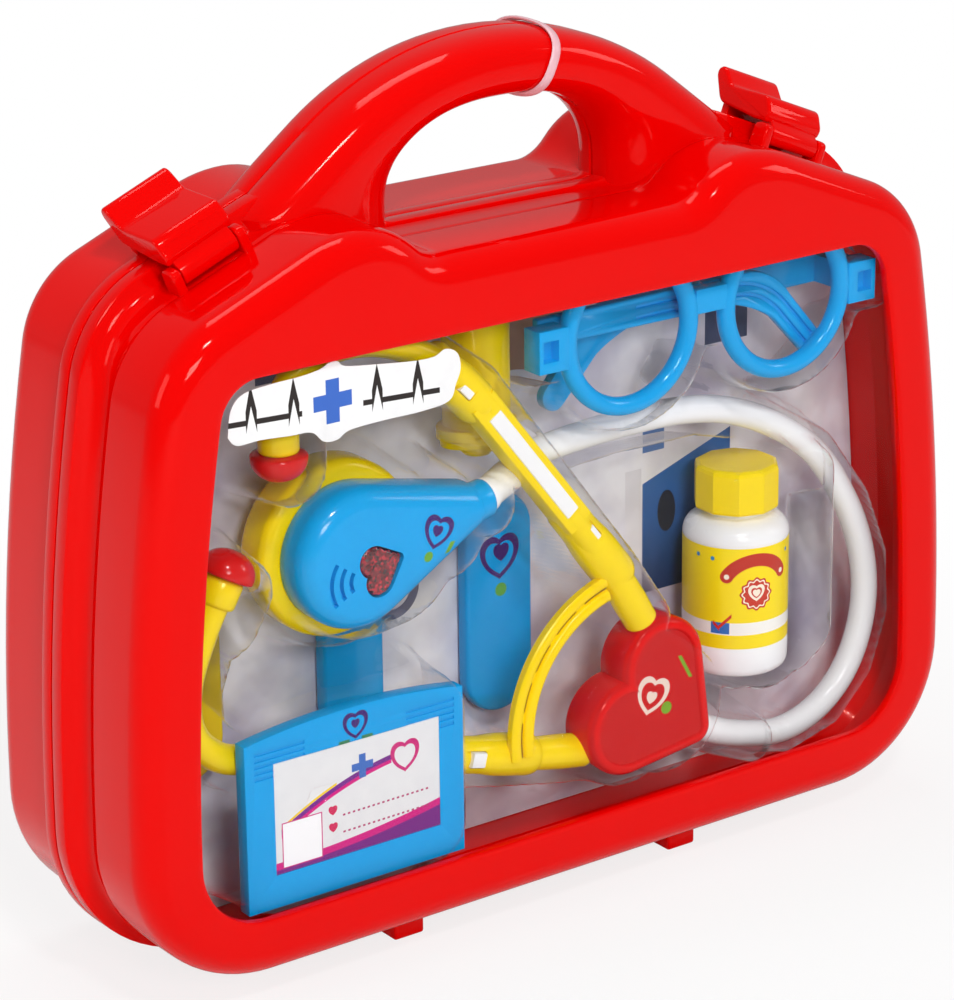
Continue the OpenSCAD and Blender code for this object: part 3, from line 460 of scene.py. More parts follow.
def halfOutline(inset=0.0, rise=0.0, more=0.0):
    c = caseSizes
    top = c["foot"] + c["height"] + rise
    steep = 90 - c["slope"]
    line = wallLine(inset, rise)[0]
    crown = (shoulderEnds(rise)[1].x - c["crown"] * math.cos(math.radians(steep)), top - c["crown"])
    turn = math.degrees(math.acos(1 - (c["dip"] + more) / (c["dipOuter"] + c["dipInner"])))
    outer = (crown[0], top - c["dipOuter"])
    inner = polar(outer, c["dipOuter"] + c["dipInner"], 90 + turn)
    return (line + arc(crown, c["crown"] - inset, steep, 90, 6)
            + arc(outer, c["dipOuter"] - inset, 90, 90 + turn, 10, 1)
            + arc(inner, c["dipInner"] + inset, turn - 90, -90, 8, 1))


def bothSides(half):
    return half + [(-x, z) for x, z in reversed(half)]


def ringAt(points, depth):
    return [place(x, depth, z) for x, z in points]


def wallRing(inset, depth, rise=0.0, more=0.0):
    return ringAt(bothSides(halfOutline(inset, rise, more)), depth)


def rimRing(inset, depth):
    return wallRing(inset, depth, seamSizes["rise"], seamSizes["dip"])


def rearRing(inset, depth):
    return wallRing(inset, depth, caseSizes["rearRise"], caseSizes["rearDip"])


def windowRing(inset, depth):
    w = windowSizes
    low = caseSizes["foot"] + w["sill"]
    line, _ = sideLine(w["width"] - 2 * inset, low + inset, w["lowCorner"] - inset, caseSizes["side"] - inset,
                       w["topCorner"] - inset, low + w["height"] - w["topCorner"], 90, 0)
    half = halfOutline()
    edge = half[len(line) - 1][0]
    line += [(x * line[-1][0] / edge, line[-1][1]) for x, z in half[len(line):]]
    return ringAt(bothSides(line), depth)


def fadedGroove(depthIn):
    s = seamSizes
    outer, floor = bothSides(halfOutline()), bothSides(halfOutline(depthIn))
    points = []
    for (x0, z0), (x1, z1) in zip(outer, floor):
        k = min(1.0, max(0.0, (s["grooveEnd"] - z0) / s["fade"]))
        k = k * k * (3 - 2 * k)
        points.append((x0 + (x1 - x0) * k, z0 + (z1 - z0) * k))
    return points


def coveRing(share, depth):
    floor = fadedGroove(seamSizes["groove"] * 0.8)
    rim = bothSides(halfOutline(-seamSizes["out"], seamSizes["rise"], seamSizes["dip"]))
    return ringAt([(a[0] + (b[0] - a[0]) * share, a[1] + (b[1] - a[1]) * share)
                   for a, b in zip(floor, rim)], depth)


def edgeRings(radius, steps=12):
    return [wallRing(radius - radius * math.sin(a), radius - radius * math.cos(a))
            for a in (math.pi / 2 * i / steps for i in range(steps + 1))]


def grooveWalls():
    s = seamSizes
    rim = s["frontLip"] - s["frontWidth"]
    out = -s["out"]
    return [wallRing(0, s["flat"] - 1.2), wallRing(0.04, s["flat"] - 0.3), wallRing(0.2, s["flat"]),
            ringAt(fadedGroove(s["groove"] * 0.7), s["flat"] + 0.8),
            ringAt(fadedGroove(s["groove"] * 0.92), s["flat"] + 1.8),
            ringAt(fadedGroove(s["groove"]), s["flat"] + 3),
            ringAt(fadedGroove(s["groove"] * 0.9), rim - 4),
            coveRing(0.04, rim - 3), coveRing(0.14, rim - 2), coveRing(0.3, rim - 1.2),
            coveRing(0.52, rim - 0.6), coveRing(0.78, rim - 0.2), coveRing(0.9, rim - 0.05),
            rimRing(out + 0.12, rim + 0.2), rimRing(out, rim + 0.7),
            rimRing(out, s["frontLip"] - 0.7), rimRing(out + 0.2, s["frontLip"] - 0.2)]


def rearWalls():
    s = seamSizes
    end = s["rearLip"] + s["rearWidth"]
    out = -s["out"]
    return [rimRing(out + 0.2, s["rearLip"] + 0.2), rimRing(out, s["rearLip"] + 0.7),
            rimRing(out, end - 0.9), rimRing(out + 0.3, end - 0.25), rimRing(out + 0.9, end),
            rearRing(0.0, end + 0.25), rearRing(0.05, end + 0.9)]


redShine = dict(gloss=0.06, shine=0.26, wave=0.05, shineColour=(1, 0.42, 0.36, 1))
redShell = plastic("redShellPlastic", rgb(232, 0, 0), tint=0.03, **redShine)
redToy = plastic("redToyPlastic", rgb(214, 10, 10), gloss=0.14, wave=0.08, shine=0.3)
yellow = plastic("yellowPlastic", rgb(255, 222, 0), gloss=0.16, wave=0.10, shine=0.45,
                 shineColour=(1, 0.9, 0.5, 1))
blue = plastic("bluePlastic", rgb(0, 166, 236), gloss=0.13, wave=0.07, shine=0.45,
               shineColour=(0.5, 0.8, 1, 1))
white = plastic("whitePlastic", rgb(248, 248, 249), gloss=0.24, wave=0.08, shine=0.35)
steel = plastic("pinSteel", rgb(190, 190, 196), gloss=0.3)
steel.node_tree.nodes["Principled BSDF"].inputs["Metallic"].default_value = 1.0


def makeFrontShell():
    c, s = caseSizes, seamSizes
    inner = c["wall"] + s["groove"] + 0.3
    rings = ([windowRing(-0.9, 0), windowRing(-2.2, 0)] + edgeRings(c["frontRound"]) + grooveWalls()
             + [rimRing(-s["out"] + 0.7, s["frontLip"]), wallRing(inner, s["frontLip"]),
                wallRing(inner, s["flat"]), wallRing(c["wall"], s["flat"] - s["groove"] - 1),
                wallRing(c["wall"], c["frontRound"] + 1),
                wallRing(c["frontRound"] * 0.6, c["wall"] + 1), wallRing(c["frontRound"], c["wall"]),
                windowRing(0, c["wall"]), windowRing(0, 0.9), windowRing(-0.26, 0.26)])
    shell = smooth(moulded("frontShell", rings, closed=True), 38)
    return finished(shell, "case_front", redShell, "red_shell", "front_shell")


def makeRearShell():
    c, s = caseSizes, seamSizes
    r, draft, depth = c["rearRound"], 0.5, c["depth"]
    panel = [rearRing(24.5, depth - 0.8), rearRing(22.8, depth - 0.8), rearRing(22.2, depth - 0.6),
             rearRing(21.2, depth - 0.1), rearRing(20.6, depth)]
    rings = (panel
             + [rearRing(draft + r - r * math.cos(a), depth - r + r * math.sin(a))
                for a in (math.pi / 2 * (1 - i / 12) for i in range(13))]
             + list(reversed(rearWalls()))
             + [rimRing(-s["out"] + 0.7, s["rearLip"]), rearRing(c["wall"], s["rearLip"]),
                rearRing(c["wall"], s["rearLip"] + s["rearWidth"]),
                rearRing(c["wall"] + draft, depth - r),
                rearRing(c["wall"] + draft + r * 0.25, depth - r * 0.3 - c["wall"]),
                rearRing(c["wall"] + draft + r * 0.85, depth - c["wall"])])
    shell = smooth(moulded("rearShell", rings), 38)
    return finished(shell, "case_rear", redShell, "red_shell", "rear_shell")


makeFrontShell()
makeRearShell()
print("shells")

# handle
handleSizes = dict(top=248.1, radius=98, thick=18.4, deep=30, fingerHalf=37, halfWidth=84,
                   straight=60, legMore=9, steps=30, wall=2.4, seamGap=0.3)


def lobe(value, power):
    return math.copysign(abs(value) ** power, value)


def archTop(x):
    h = handleSizes
    centre = h["top"] - h["radius"]
    reach = math.sqrt(h["radius"] ** 2 - h["straight"] ** 2)
    if abs(x) < h["straight"]:
        return centre + math.sqrt(h["radius"] ** 2 - x * x)
    return centre + reach - (abs(x) - h["straight"]) * h["straight"] / reach


def gripPair(angle):
    h = handleSizes
    s, c = math.sin(math.radians(angle)), math.cos(math.radians(angle))
    fingerLow = caseSizes["foot"] + caseSizes["height"] - caseSizes["dip"] + 6
    outerX = h["halfWidth"] * lobe(s, 0.9)
    return (Vector((h["fingerHalf"] * lobe(s, 0.8),
                    fingerLow + (h["top"] - h["thick"] - fingerLow) * lobe(max(c, 0.0), 0.8))),
            Vector((outerX, archTop(outerX))))


def gripRing(pair, side, down=0.0):
    h = handleSizes
    middle, half = (pair[0] + pair[1]) / 2, (pair[1] - pair[0]) / 2
    deep = h["deep"] / 2 - h["seamGap"] / 2
    ring = []
    for a in range(-90, 91, 9):  # outer skin, with the lips at the seam rounded into a fine groove
        across = lobe(math.sin(math.radians(a)), 0.76)
        out = lobe(math.cos(math.radians(a)), 0.76) * deep
        tuck = 0.8 * max(0.0, 1 - out / 0.9)
        point = middle + half * across * (1 - tuck / half.length)
        ring.append(place(point.x, seamMiddle + side * (out + h["seamGap"] / 2), point.y - down))
        if abs(a) == 90:
            point = middle + half * across * (1 - 0.12 / half.length)
            lip = place(point.x, seamMiddle + side * (0.55 + h["seamGap"] / 2), point.y - down)
            ring.insert(len(ring) if a < 0 else len(ring) - 1, lip)
    for a in range(90, -91, -18):
        k = 1 - h["wall"] / half.length
        across = lobe(math.sin(math.radians(a)), 0.76) * k
        point = middle + half * across
        ring.append(place(point.x, seamMiddle + side * (lobe(math.cos(math.radians(a)), 0.76)
                                                * (deep - h["wall"]) + h["seamGap"] / 2), point.y - down))
    return ring


def makeHandle(name, side, block, body, node):
    h = handleSizes
    rings = [gripRing(gripPair(-90), side, h["legMore"])]
    rings += [gripRing(gripPair(90 * i / h["steps"]), side) for i in range(-h["steps"], h["steps"] + 1)]
    rings.append(gripRing(gripPair(90), side, h["legMore"]))
    half = cut(moulded(name, rings), moulded("block", block))
    return finished(smooth(half, 40), body, redShell, "red_shell", node)


def makeHandles():
    s, c = seamSizes, caseSizes
    front = ([wallRing(0, c["frontRound"])] + grooveWalls() + [rimRing(-s["out"], s["frontLip"] + 1)])
    rear = ([rimRing(-s["out"], s["rearLip"] - 1)] + rearWalls()
            + [rearRing(0.5, c["depth"] - c["rearRound"])])
    makeHandle("frontHandle", -1, front, "case_front", "front_handle")
    makeHandle("rearHandle", 1, rear, "case_rear", "rear_handle")


makeHandles()
print("handle")

# latches, hinges and feet
latchSizes = dict(width=21.5, barrelWidth=18, gap=0.3, ear=3.0, shift=0.9)
latchPlate = [  # corners of the plate with its finger lip: depth, height above the shoulder, rounding
    (27.8, 7.1, 0.6), (33, 7.1, 2), (49.7, 9.1, 2), (54.3, 16.4, 1.2), (54.2, 18.4, 1.3), (52.5, 19.4, 1.7),
    (50.7, 18.8, 1.3), (46.4, 14.5, 1.6), (30.3, 14.5, 1.7), (27.1, 9.6, 1.5)]
latchCover = [(24.6, 3.0, 1.5), (25.6, 1.1, 1.6), (29.4, 1.1, 1.6), (30.5, 3.2, 1), (32.3, 10.5, 0.5),
              (32.3, 12.5, 0), (28.9, 12.5, 0), (28.4, 8.8, 0.4), (24.9, 5.4, 1.3)]
latchHook = [(46.8, 4.7, 0.4), (49.6, 5.8, 0.6), (49.6, 13, 0), (46.8, 13, 0)]
latchHollow = [(31.5, 6.0, 0), (48.6, 6.0, 0), (48.6, 11.9, 0.8), (32.0, 11.9, 0.8)]
latchEar = [(24.3, -1.5, 0), (30.9, -1.5, 0), (30.6, 3.0, 0.8), (30.4, 6.7, 2.7), (24.6, 6.7, 2.7),
            (24.4, 3.0, 0.8)]


def shoulderPlace(side, along, depth, height):
    middle, slope = (shoulderEnds()[0] + shoulderEnds()[1]) / 2, side * math.radians(caseSizes["slope"])
    along += side * latchSizes["shift"]
    return place(side * middle.x + along * math.cos(slope) + height * math.sin(slope), depth,
                 middle.y - along * math.sin(slope) + height * math.cos(slope))


def roundedLoop(corners, steps=5):
    loop = []
    for i, (y, z, radius) in enumerate(corners):
        here = Vector((y, z))
        back, ahead = Vector(corners[i - 1][:2]) - here, Vector(corners[(i + 1) % len(corners)][:2]) - here
        start = here + back.normalized() * min(radius, back.length * 0.45)
        end = here + ahead.normalized() * min(radius, ahead.length * 0.45)
        for k in range(steps + 1 if radius else 1):
            t = k / steps
            loop.append(start * (1 - t) ** 2 + here * 2 * t * (1 - t) + end * t * t)
    return loop


def insetLoop(loop, inset):
    inner = []
    for i, point in enumerate(loop):
        before = (point - loop[i - 1]).normalized()
        after = (loop[(i + 1) % len(loop)] - point).normalized()
        square = Vector((-before.y, before.x))
        bisector = (square + Vector((-after.y, after.x))).normalized()
        inner.append(point + bisector * inset / max(0.6, bisector.dot(square)))
    return inner


def shoulderPiece(name, side, corners, start, end, soft):
    # a profile drawn along the shoulder, with both of its end faces rounded over
    loop = roundedLoop(corners)
    over = [(soft * (1 - math.cos(a)), soft * (1 - math.sin(a)))
            for a in (math.pi / 2 * i / 4 for i in range(5))]
    stations = [(start + t, inset) for t, inset in over] + [(end - t, inset) for t, inset in reversed(over)]
    return moulded(name, [[shoulderPlace(side, along, p.x, p.y) for p in insetLoop(loop, inset)]
                          for along, inset in stations])


def makeLatches():
    w, b = latchSizes["width"] / 2, latchSizes["barrelWidth"] / 2
    near = b + latchSizes["gap"]
    ears = []
    for side, name in ((-1, "left"), (1, "right")):
        plate = shoulderPiece(name + "Latch", side, latchPlate, -w, w, 0.9)
        cut(plate, shoulderPiece("hollow", side, latchHollow, 1.5 - w, w - 1.5, 0.1))
        for corners in (latchCover, latchHook):
            cut(plate, shoulderPiece("cover", side, corners, -b, b, 0.4), operation="UNION")
        finished(smooth(plate, 40), "latch_" + name, redShell, "red_shell", "latch_" + name)
        ears += [shoulderPiece("ear", side, latchEar, a, a + latchSizes["ear"], 0.8)
                 for a in (near, -near - latchSizes["ear"])]
    finished(smooth(joined("latchEars", *ears), 40), "case_front", redShell, "red_shell", "latch_brackets")


makeLatches()

fittings = [  # CAD node, piece, body, rounding of its edges
    ("front_feet", "frontFeet", "case_front", 0.8), ("rear_feet", "rearFeet", "case_rear", 0.8),
    ("front_hinge_lugs", "frontKnuckles", "case_front", 0.2),
    ("rear_hinge_lugs", "rearKnuckles", "case_rear", 0.2),
]
for node, name, body, edge in fittings:
    finished(dressed(node, name, edge, 3), body, redShell, "red_shell", node)
for node in ("hinge_pins", "latch_pins"):
    coloured(node, steel)

tieSizes = dict(angle=9, wide=3.0, thick=0.9, gap=0.35, gripDeep=15)


def makeTie():
    # a thin strap round the grip, crowned across its width
    t = tieSizes
    inner, outer = gripPair(t["angle"])
    middle, half = (inner + outer) / 2, (outer - inner) / 2
    up, over = half.normalized(), Vector((half.y, -half.x)).normalized()

    def loop(offset, shift):
        ring = []
        for i in range(48):
            a = 2 * math.pi * i / 48
            point = (middle + up * lobe(math.sin(a), 0.76) * (half.length + offset) + over * shift)
            out = lobe(math.cos(a), 0.76) * (t["gripDeep"] + offset)
            ring.append(place(point.x, seamMiddle + out, point.y))
        return ring

    w, g, k = t["wide"] / 2, t["gap"], t["thick"]
    rings = [loop(g, -w + 0.3), loop(g + k * 0.4, -w), loop(g + k * 0.8, -w + 0.3), loop(g + k, -w * 0.4),
             loop(g + k, w * 0.4), loop(g + k * 0.8, w - 0.3), loop(g + k * 0.4, w), loop(g, w - 0.3)]
    strap = smooth(moulded("cableTie", rings, closed=True), 50)
    finish = Finish("tiePlastic")
    tone = finish.mixed(finish.grain(70, 2), rgb(240, 170, 180), rgb(250, 215, 222))
    shader = finish.node("BsdfPrincipled", {}, Base_Color=tone, Roughness=0.3, Alpha=0.82)
    return finished(strap, "case_front", finish.done(shader), "tie_plastic", "cable_tie")


makeTie()
print("fittings")

# window, blister and card
paneClear = clearSheet("clearPane", (1, 1, 1, 1), 0.003, 0.08, 0.0, 0.04)
blisterClear = clearSheet("clearBlister", (0.995, 0.993, 0.997, 1), 0.006, 1.0, 0.6, 0.16)
coloured("window_pane", paneClear)

whiteRoute = [(47, 11.1, -60), (58, 12.1, -66), (72, 14.5, -72), (90, 16.5, -76), (106, 17.5, -72),
              (117, 17.5, -61), (122.5, 17.5, -45), (121.5, 17.5, -27), (114, 17.5, -8), (100, 17.5, 11),
              (78, 18.5, 25), (54, 18.5, 31.5), (24, 18.5, 32), (4, 18.5, 30.5), (-6, 18.5, 29)]
upperArm = [(-88, 12.3, 54), (-87, 10.9, 66), (-78, 9.1, 75), (-62, 8.5, 76), (-46, 8.5, 70),
            (-29, 8.5, 57.5), (-13, 8.5, 36), (2, 8.5, 16), (18, 8.5, -5), (30, 8.5, -23)]
lowerArm = [(-107, 13.7, 15), (-113, 13.7, 4), (-118, 13.7, -10), (-117, 13.7, -23), (-108, 13.7, -32),
            (-92, 13.7, -36), (-60, 13.7, -44.5), (-22, 13.7, -54), (-2, 13.7, -58.5), (9, 13.7, -60.5)]
pockets = [  # lines that the pockets of the blister follow, their half width and the depth of their front
    dict(line=[(-98, -66), (-46, -66), (-46, -33), (-98, -33), (-98, -66), (-46, -45)], reach=11, front=3.5),
    dict(line=[(-66, 16.5), (-66, 16.4)], reach=27, front=15.8),
    dict(line=[(-66, 16.5), (-58, 17.5)], reach=21.5, front=3.5),
    dict(line=[(-66, 16.5), (-26, 23.4)], reach=9.0, front=3.5),
    dict(line=[(-66, 16.5), (-42, 20.5)], reach=15.5, front=3.5),
    dict(line=[(64, -44), (84, -44), (90, -40), (90, 8), (66, 8), (64, -44), (84, 0)], reach=8.5, front=3.5),
    dict(line=[(75, -40), (75, 5)], reach=15, front=3.5),
    dict(line=[(30, -46), (37, -52), (30, -46), (22, -52)], reach=19.5, front=3.5),
    dict(line=[(24, 62), (24.1, 62)], reach=26.5, front=3.5),
    dict(line=[(80, 62), (80.1, 62)], reach=26.5, front=3.5),
    dict(line=[(-8, 63), (112, 63)], reach=9, front=3.5),
    dict(line=[(-88, 47), (-88, 52)], reach=10, front=2.9 + 0.6),
    dict(line=[(-105, 15.5), (-109, 9)], reach=10, front=5.0),
    dict(line=[(x, z) for x, y, z in upperArm], reach=7.5, front=3.5),
    dict(line=[(x, z) for x, y, z in lowerArm], reach=7.5, front=7.0),
    dict(line=[(x, z) for x, y, z in whiteRoute], reach=6.0, front=12.2),
    dict(line=[(47, -60), (58, -66), (72, -72)], reach=6.5, front=6.0),
]
blisterSizes = dict(base=30.4, edge=9.5, wall=3.0, cell=1.25)


def lineDistance(x, z, line):
    best = 1e9
    for (x0, z0), (x1, z1) in zip(line, line[1:]):
        dx, dz = x1 - x0, z1 - z0
        t = max(0.0, min(1.0, ((x - x0) * dx + (z - z0) * dz) / (dx * dx + dz * dz + 1e-9)))
        best = min(best, math.hypot(x - x0 - dx * t, z - z0 - dz * t))
    return best


def inside(x, z, outline):
    odd = False
    for (x0, z0), (x1, z1) in zip(outline, outline[1:] + outline[:1]):
        if (z0 > z) != (z1 > z) and x < (x1 - x0) * (z - z0) / (z1 - z0) + x0:
            odd = not odd
    return odd


def makeBlister():
    # one sheet drawn over the toys: flat near the card, with a pocket along each toy
    b = blisterSizes
    outline = [(x, z - windowMiddle) for x, z in bothSides(halfOutline(b["edge"]))]
    wide, high = 2 * 132 / b["cell"], 184 / b["cell"]
    deselectAll()
    bpy.ops.mesh.primitive_grid_add(x_subdivisions=int(wide), y_subdivisions=int(high), size=2,
                                    rotation=(math.pi / 2, 0, 0))
    sheet = bpy.context.object
    sheet.name = sheet.data.name = "blisterSheet"
    bpy.ops.object.transform_apply(location=True, rotation=True, scale=True)
    outlineLoop = outline + outline[:1]
    dead = []
    for vert in sheet.data.vertices:
        x, z = vert.co.x * 132, vert.co.z * 92 - 1.2
        if not inside(x, z, outline):
            best, spot = 1e9, None
            for (x0, z0), (x1, z1) in zip(outlineLoop, outlineLoop[1:]):
                dx, dz = x1 - x0, z1 - z0
                t = max(0.0, min(1.0, ((x - x0) * dx + (z - z0) * dz) / (dx * dx + dz * dz + 1e-9)))
                away = math.hypot(x - x0 - dx * t, z - z0 - dz * t)
                if away < best:
                    best, spot = away, (x0 + dx * t, z0 + dz * t)
            if best > b["cell"] * 1.5:
                dead.append(vert.index)
            x, z = spot
        depth = b["base"] + 0.5 * noise.noise(Vector((x * 0.03, 0.0, z * 0.03)))
        for pocket in pockets:
            away = lineDistance(x, z, pocket["line"]) - pocket["reach"]
            k = max(0.0, min(1.0, 1 - away / b["wall"]))
            k = k * k * (3 - 2 * k)
            depth = min(depth, b["base"] + (pocket["front"] - b["base"]) * k)
        vert.co = inWindow(x, depth, z)
    activate(sheet)
    bpy.ops.object.mode_set(mode="EDIT")
    bpy.ops.mesh.select_all(action="DESELECT")
    bpy.ops.mesh.select_mode(type="VERT")
    shape = bmesh.from_edit_mesh(sheet.data)
    shape.verts.ensure_lookup_table()
    for index in dead:
        shape.verts[index].select = True
    bpy.ops.mesh.delete(type="VERT")
    bpy.ops.mesh.select_all(action="SELECT")
    bpy.ops.mesh.remove_doubles(threshold=0.00005)
    bpy.ops.mesh.vertices_smooth(factor=0.5, repeat=1)
    bpy.ops.object.mode_set(mode="OBJECT")
    bpy.ops.object.shade_smooth()
    return finished(sheet, "case_front", blisterClear, "clear_sheet", "blister_tray")


makeBlister()


cardBack = 37.3  # depth of the bare grey side of the card


def backingPrint(finish, base):
    # leaflets and crumpled paper behind the toys: white and lilac with blue fields, with painted shade and
    # highlight along the crumples
    point, x, z, y = finish.spots()
    # the paper goes from lilac-grey to white with a noise: partly the paper's own lilac tone, partly painted
    # shade in the crumples and painted highlight on their ridges
    folds = finish.node("TexNoise", {}, Vector=point, Scale=24, Detail=4)
    shade = ((folds - 0.34) * 3.2).math("MAXIMUM", 0.0).math("MINIMUM", 1.0)
    paper = finish.mixed(shade, rgb(186, 180, 202), rgb(252, 251, 254))
    warm = finish.node("TexNoise", {}, Vector=point, Scale=11, Detail=2)
    paper = finish.mixed(boxMask(x, z, 4, 52, 40, 34) * (warm > 0.42), paper, rgb(176, 140, 118))
    slant = 4.0 + (x - 53) * 0.34
    field = (x > 53) * (x < 86) * (z < slant) * (z > -30)
    deep = ((z + 32) / 36).math("MAXIMUM", 0.0).math("MINIMUM", 1.0)
    paper = finish.mixed(field, paper, finish.mixed(deep, rgb(34, 48, 88), rgb(60, 112, 180)))
    oval = discMask(x * 1.9, z, 62 * 1.9, -6, 6.4)
    paper = finish.mixed(oval, paper, rgb(48, 50, 58))
    paper = finish.mixed(boxMask(x, z, 49.6, -8, 6, 34), paper, rgb(236, 234, 238))
    paper = finish.mixed(boxMask(x, z, 57, 17, 8, 7), paper, rgb(94, 130, 190))
    paper = finish.mixed(boxMask(x, z, 84, 48, 16, 12), paper, rgb(60, 72, 104))
    paper = finish.mixed(boxMask(x, z, -66, 66, 26, 12), paper, rgb(70, 76, 104))
    hoop = discMask(x, z, -36, -8, 9) * (1 - discMask(x, z, -36, -8, 6))
    paper = finish.mixed(hoop, paper, rgb(96, 100, 140))
    return finish.mixed(y > cardBack, paper, finish.mixed(folds, rgb(196, 190, 182), rgb(216, 211, 204)))


coloured("backing_card", printed("backingPaper", backingPrint, 0.5, crease=0.5))

stickerSizes = dict(thick=0.2, front=2.0, middle=(-77.5, 64.6), cross=12, arm=4.2, level=65.2, lean=-0.05)
stickerEdge = [(-109.7, 61), (-108.6, 68), (-104.7, 71.8), (-96.5, 72.8), (-87.3, 73.1), (-81.1, 73.9),
               (-78.2, 75.1), (-75.6, 75.0), (-73, 73.2), (-62.4, 71.7), (-51.3, 70.4), (-45, 70.4),
               (-41.3, 71.8), (-37.6, 70), (-36.6, 65.6), (-38.2, 61.5), (-40.6, 57.2), (-50, 56.1),
               (-61.2, 56.1), (-72.3, 55.6), (-76.2, 53.8), (-80.5, 54.1), (-84.2, 57.3), (-90.9, 57.8),
               (-100.1, 58.5), (-107, 58.4)]


def makeSticker():
    # die-cut label on the pane with a softly waved edge
    t = stickerSizes
    edge = curveLine(stickerEdge + stickerEdge[:1], 5)[:-1]
    edge.reverse()
    middle = Vector(t["middle"])
    rings = [[inWindow(p.x, t["front"] + t["thick"] * k, p.y) for p in edge] for k in (1, 0.25)]
    tucked = [middle + (p - middle) * 0.992 for p in edge]
    rings.append([inWindow(p.x, t["front"], p.y) for p in tucked])
    label = smooth(moulded("windowLabel", rings), 30)

    def pattern(finish, base):
        # a plain cross and a pulse line, as on any first-aid toy
        point, x, z, y = finish.spots()
        paper = finish.mixed(finish.grain(300, 2), rgb(240, 240, 241), rgb(250, 250, 250))
        across, long, arm = t["middle"], t["cross"], t["arm"]
        cross = (boxMask(x, z, *across, long, arm) + boxMask(x, z, *across, arm, long)) > 0.5
        ink = finish.mixed(cross, paper, rgb(62, 108, 200))
        beat = (0.13 - abs(((x + 200.0) / 13.0).math("FRACT") - 0.5)).math("MAXIMUM", 0.0)
        level = t["level"] + (x - across[0]) * t["lean"] - 2.6
        line = (abs(z - level - beat * 56.0) < (beat > 0.0) * 2.2 + 0.75)
        line = line * (abs(x - across[0]) > 9.5) * (abs(x - across[0]) < 34)
        return finish.mixed(line, ink, rgb(44, 38, 36))

    return finished(label, "case_front", printed("stickerPaper", pattern), "white_print", "window_sticker")


makeSticker()
print("window and blister")


# stethoscope
def sweptRings(line, radius, sides=20, flat=1.0):
    # round sections square to the line; radius may be one number or one for each point
    rings = []
    for i, point in enumerate(line):
        ahead = (line[min(i + 1, len(line) - 1)] - line[max(i - 1, 0)]).normalized()
        u = ahead.cross(Vector((0, 1, 0))).normalized()
        v = u.cross(ahead)
        r = radius[i] if isinstance(radius, list) else radius
        rings.append([inWindow(*(point + u * r * math.cos(2 * math.pi * k / sides)
                                 + v * r * flat * math.sin(2 * math.pi * k / sides)))
                      for k in range(sides)])
    return rings


def straightPiece(name, start, end, profile, sides=28, flat=1.0):
    # turned shape along a straight line; profile holds shares of the length and radii
    start, end = Vector(start), Vector(end)
    line = [start + (end - start) * share for share, _ in profile]
    ahead = (end - start).normalized()
    u = ahead.cross(Vector((0, 1, 0))).normalized()
    v = u.cross(ahead)
    rings = [[inWindow(*(point + u * r * math.cos(2 * math.pi * k / sides)
                         + v * r * flat * math.sin(2 * math.pi * k / sides))) for k in range(sides)]
             for point, (_, r) in zip(line, profile)]
    return moulded(name, rings)


def barPiece(name, start, end, width, front, back, round=0.5):
    # straight bar with rounded edges between two points of the window plane
    start, end = Vector(start), Vector(end)
    ahead = (end - start).normalized()
    side = Vector((-ahead.y, ahead.x))
    w = width / 2
    section = [(-w, back), (-w, front + round), (-w + round * 0.3, front + round * 0.3), (-w + round, front),
               (w - round, front), (w - round * 0.3, front + round * 0.3), (w, front + round), (w, back)]
    rings = [[inWindow(p.x + side.x * s, y, p.y + side.y * s) for s, y in section]
             for p in (start, start + ahead * 0.4, end - ahead * 0.4, end)]
    return moulded(name, rings)


def sleevePiece(name, start, end, radius, depth, slotAt, slotLong=6.5):
    # sleeve with rounded shoulders, a collar at each end and a slot that shows the white joint
    start3, end3 = (start[0], depth, start[1]), (end[0], depth, end[1])
    sleeve = straightPiece(name, start3, end3, [(share, radius * wide) for share, wide in (
        (0, 0.7), (0.02, 0.8), (0.06, 0.86), (0.3, 0.87), (0.42, 0.93), (0.5, 0.98), (0.6, 1.0), (0.88, 1.0),
        (0.94, 0.96), (0.98, 0.88), (1, 0.74))])
    ahead = (Vector(end) - Vector(start)).normalized()
    middle = Vector(start) + (Vector(end) - Vector(start)) * slotAt
    a, b = middle - ahead * slotLong / 2, middle + ahead * slotLong / 2
    cut(sleeve, barPiece("slot", a, b, 5.2, depth - radius - 2, depth - radius + 2.8))
    joint = barPiece(name + "Joint", middle - ahead * 1.4, middle + ahead * (slotLong / 2 - 0.2), 4.4,
                     depth - radius + 0.5, depth)
    return smooth(sleeve, 40), smooth(joint, 40)


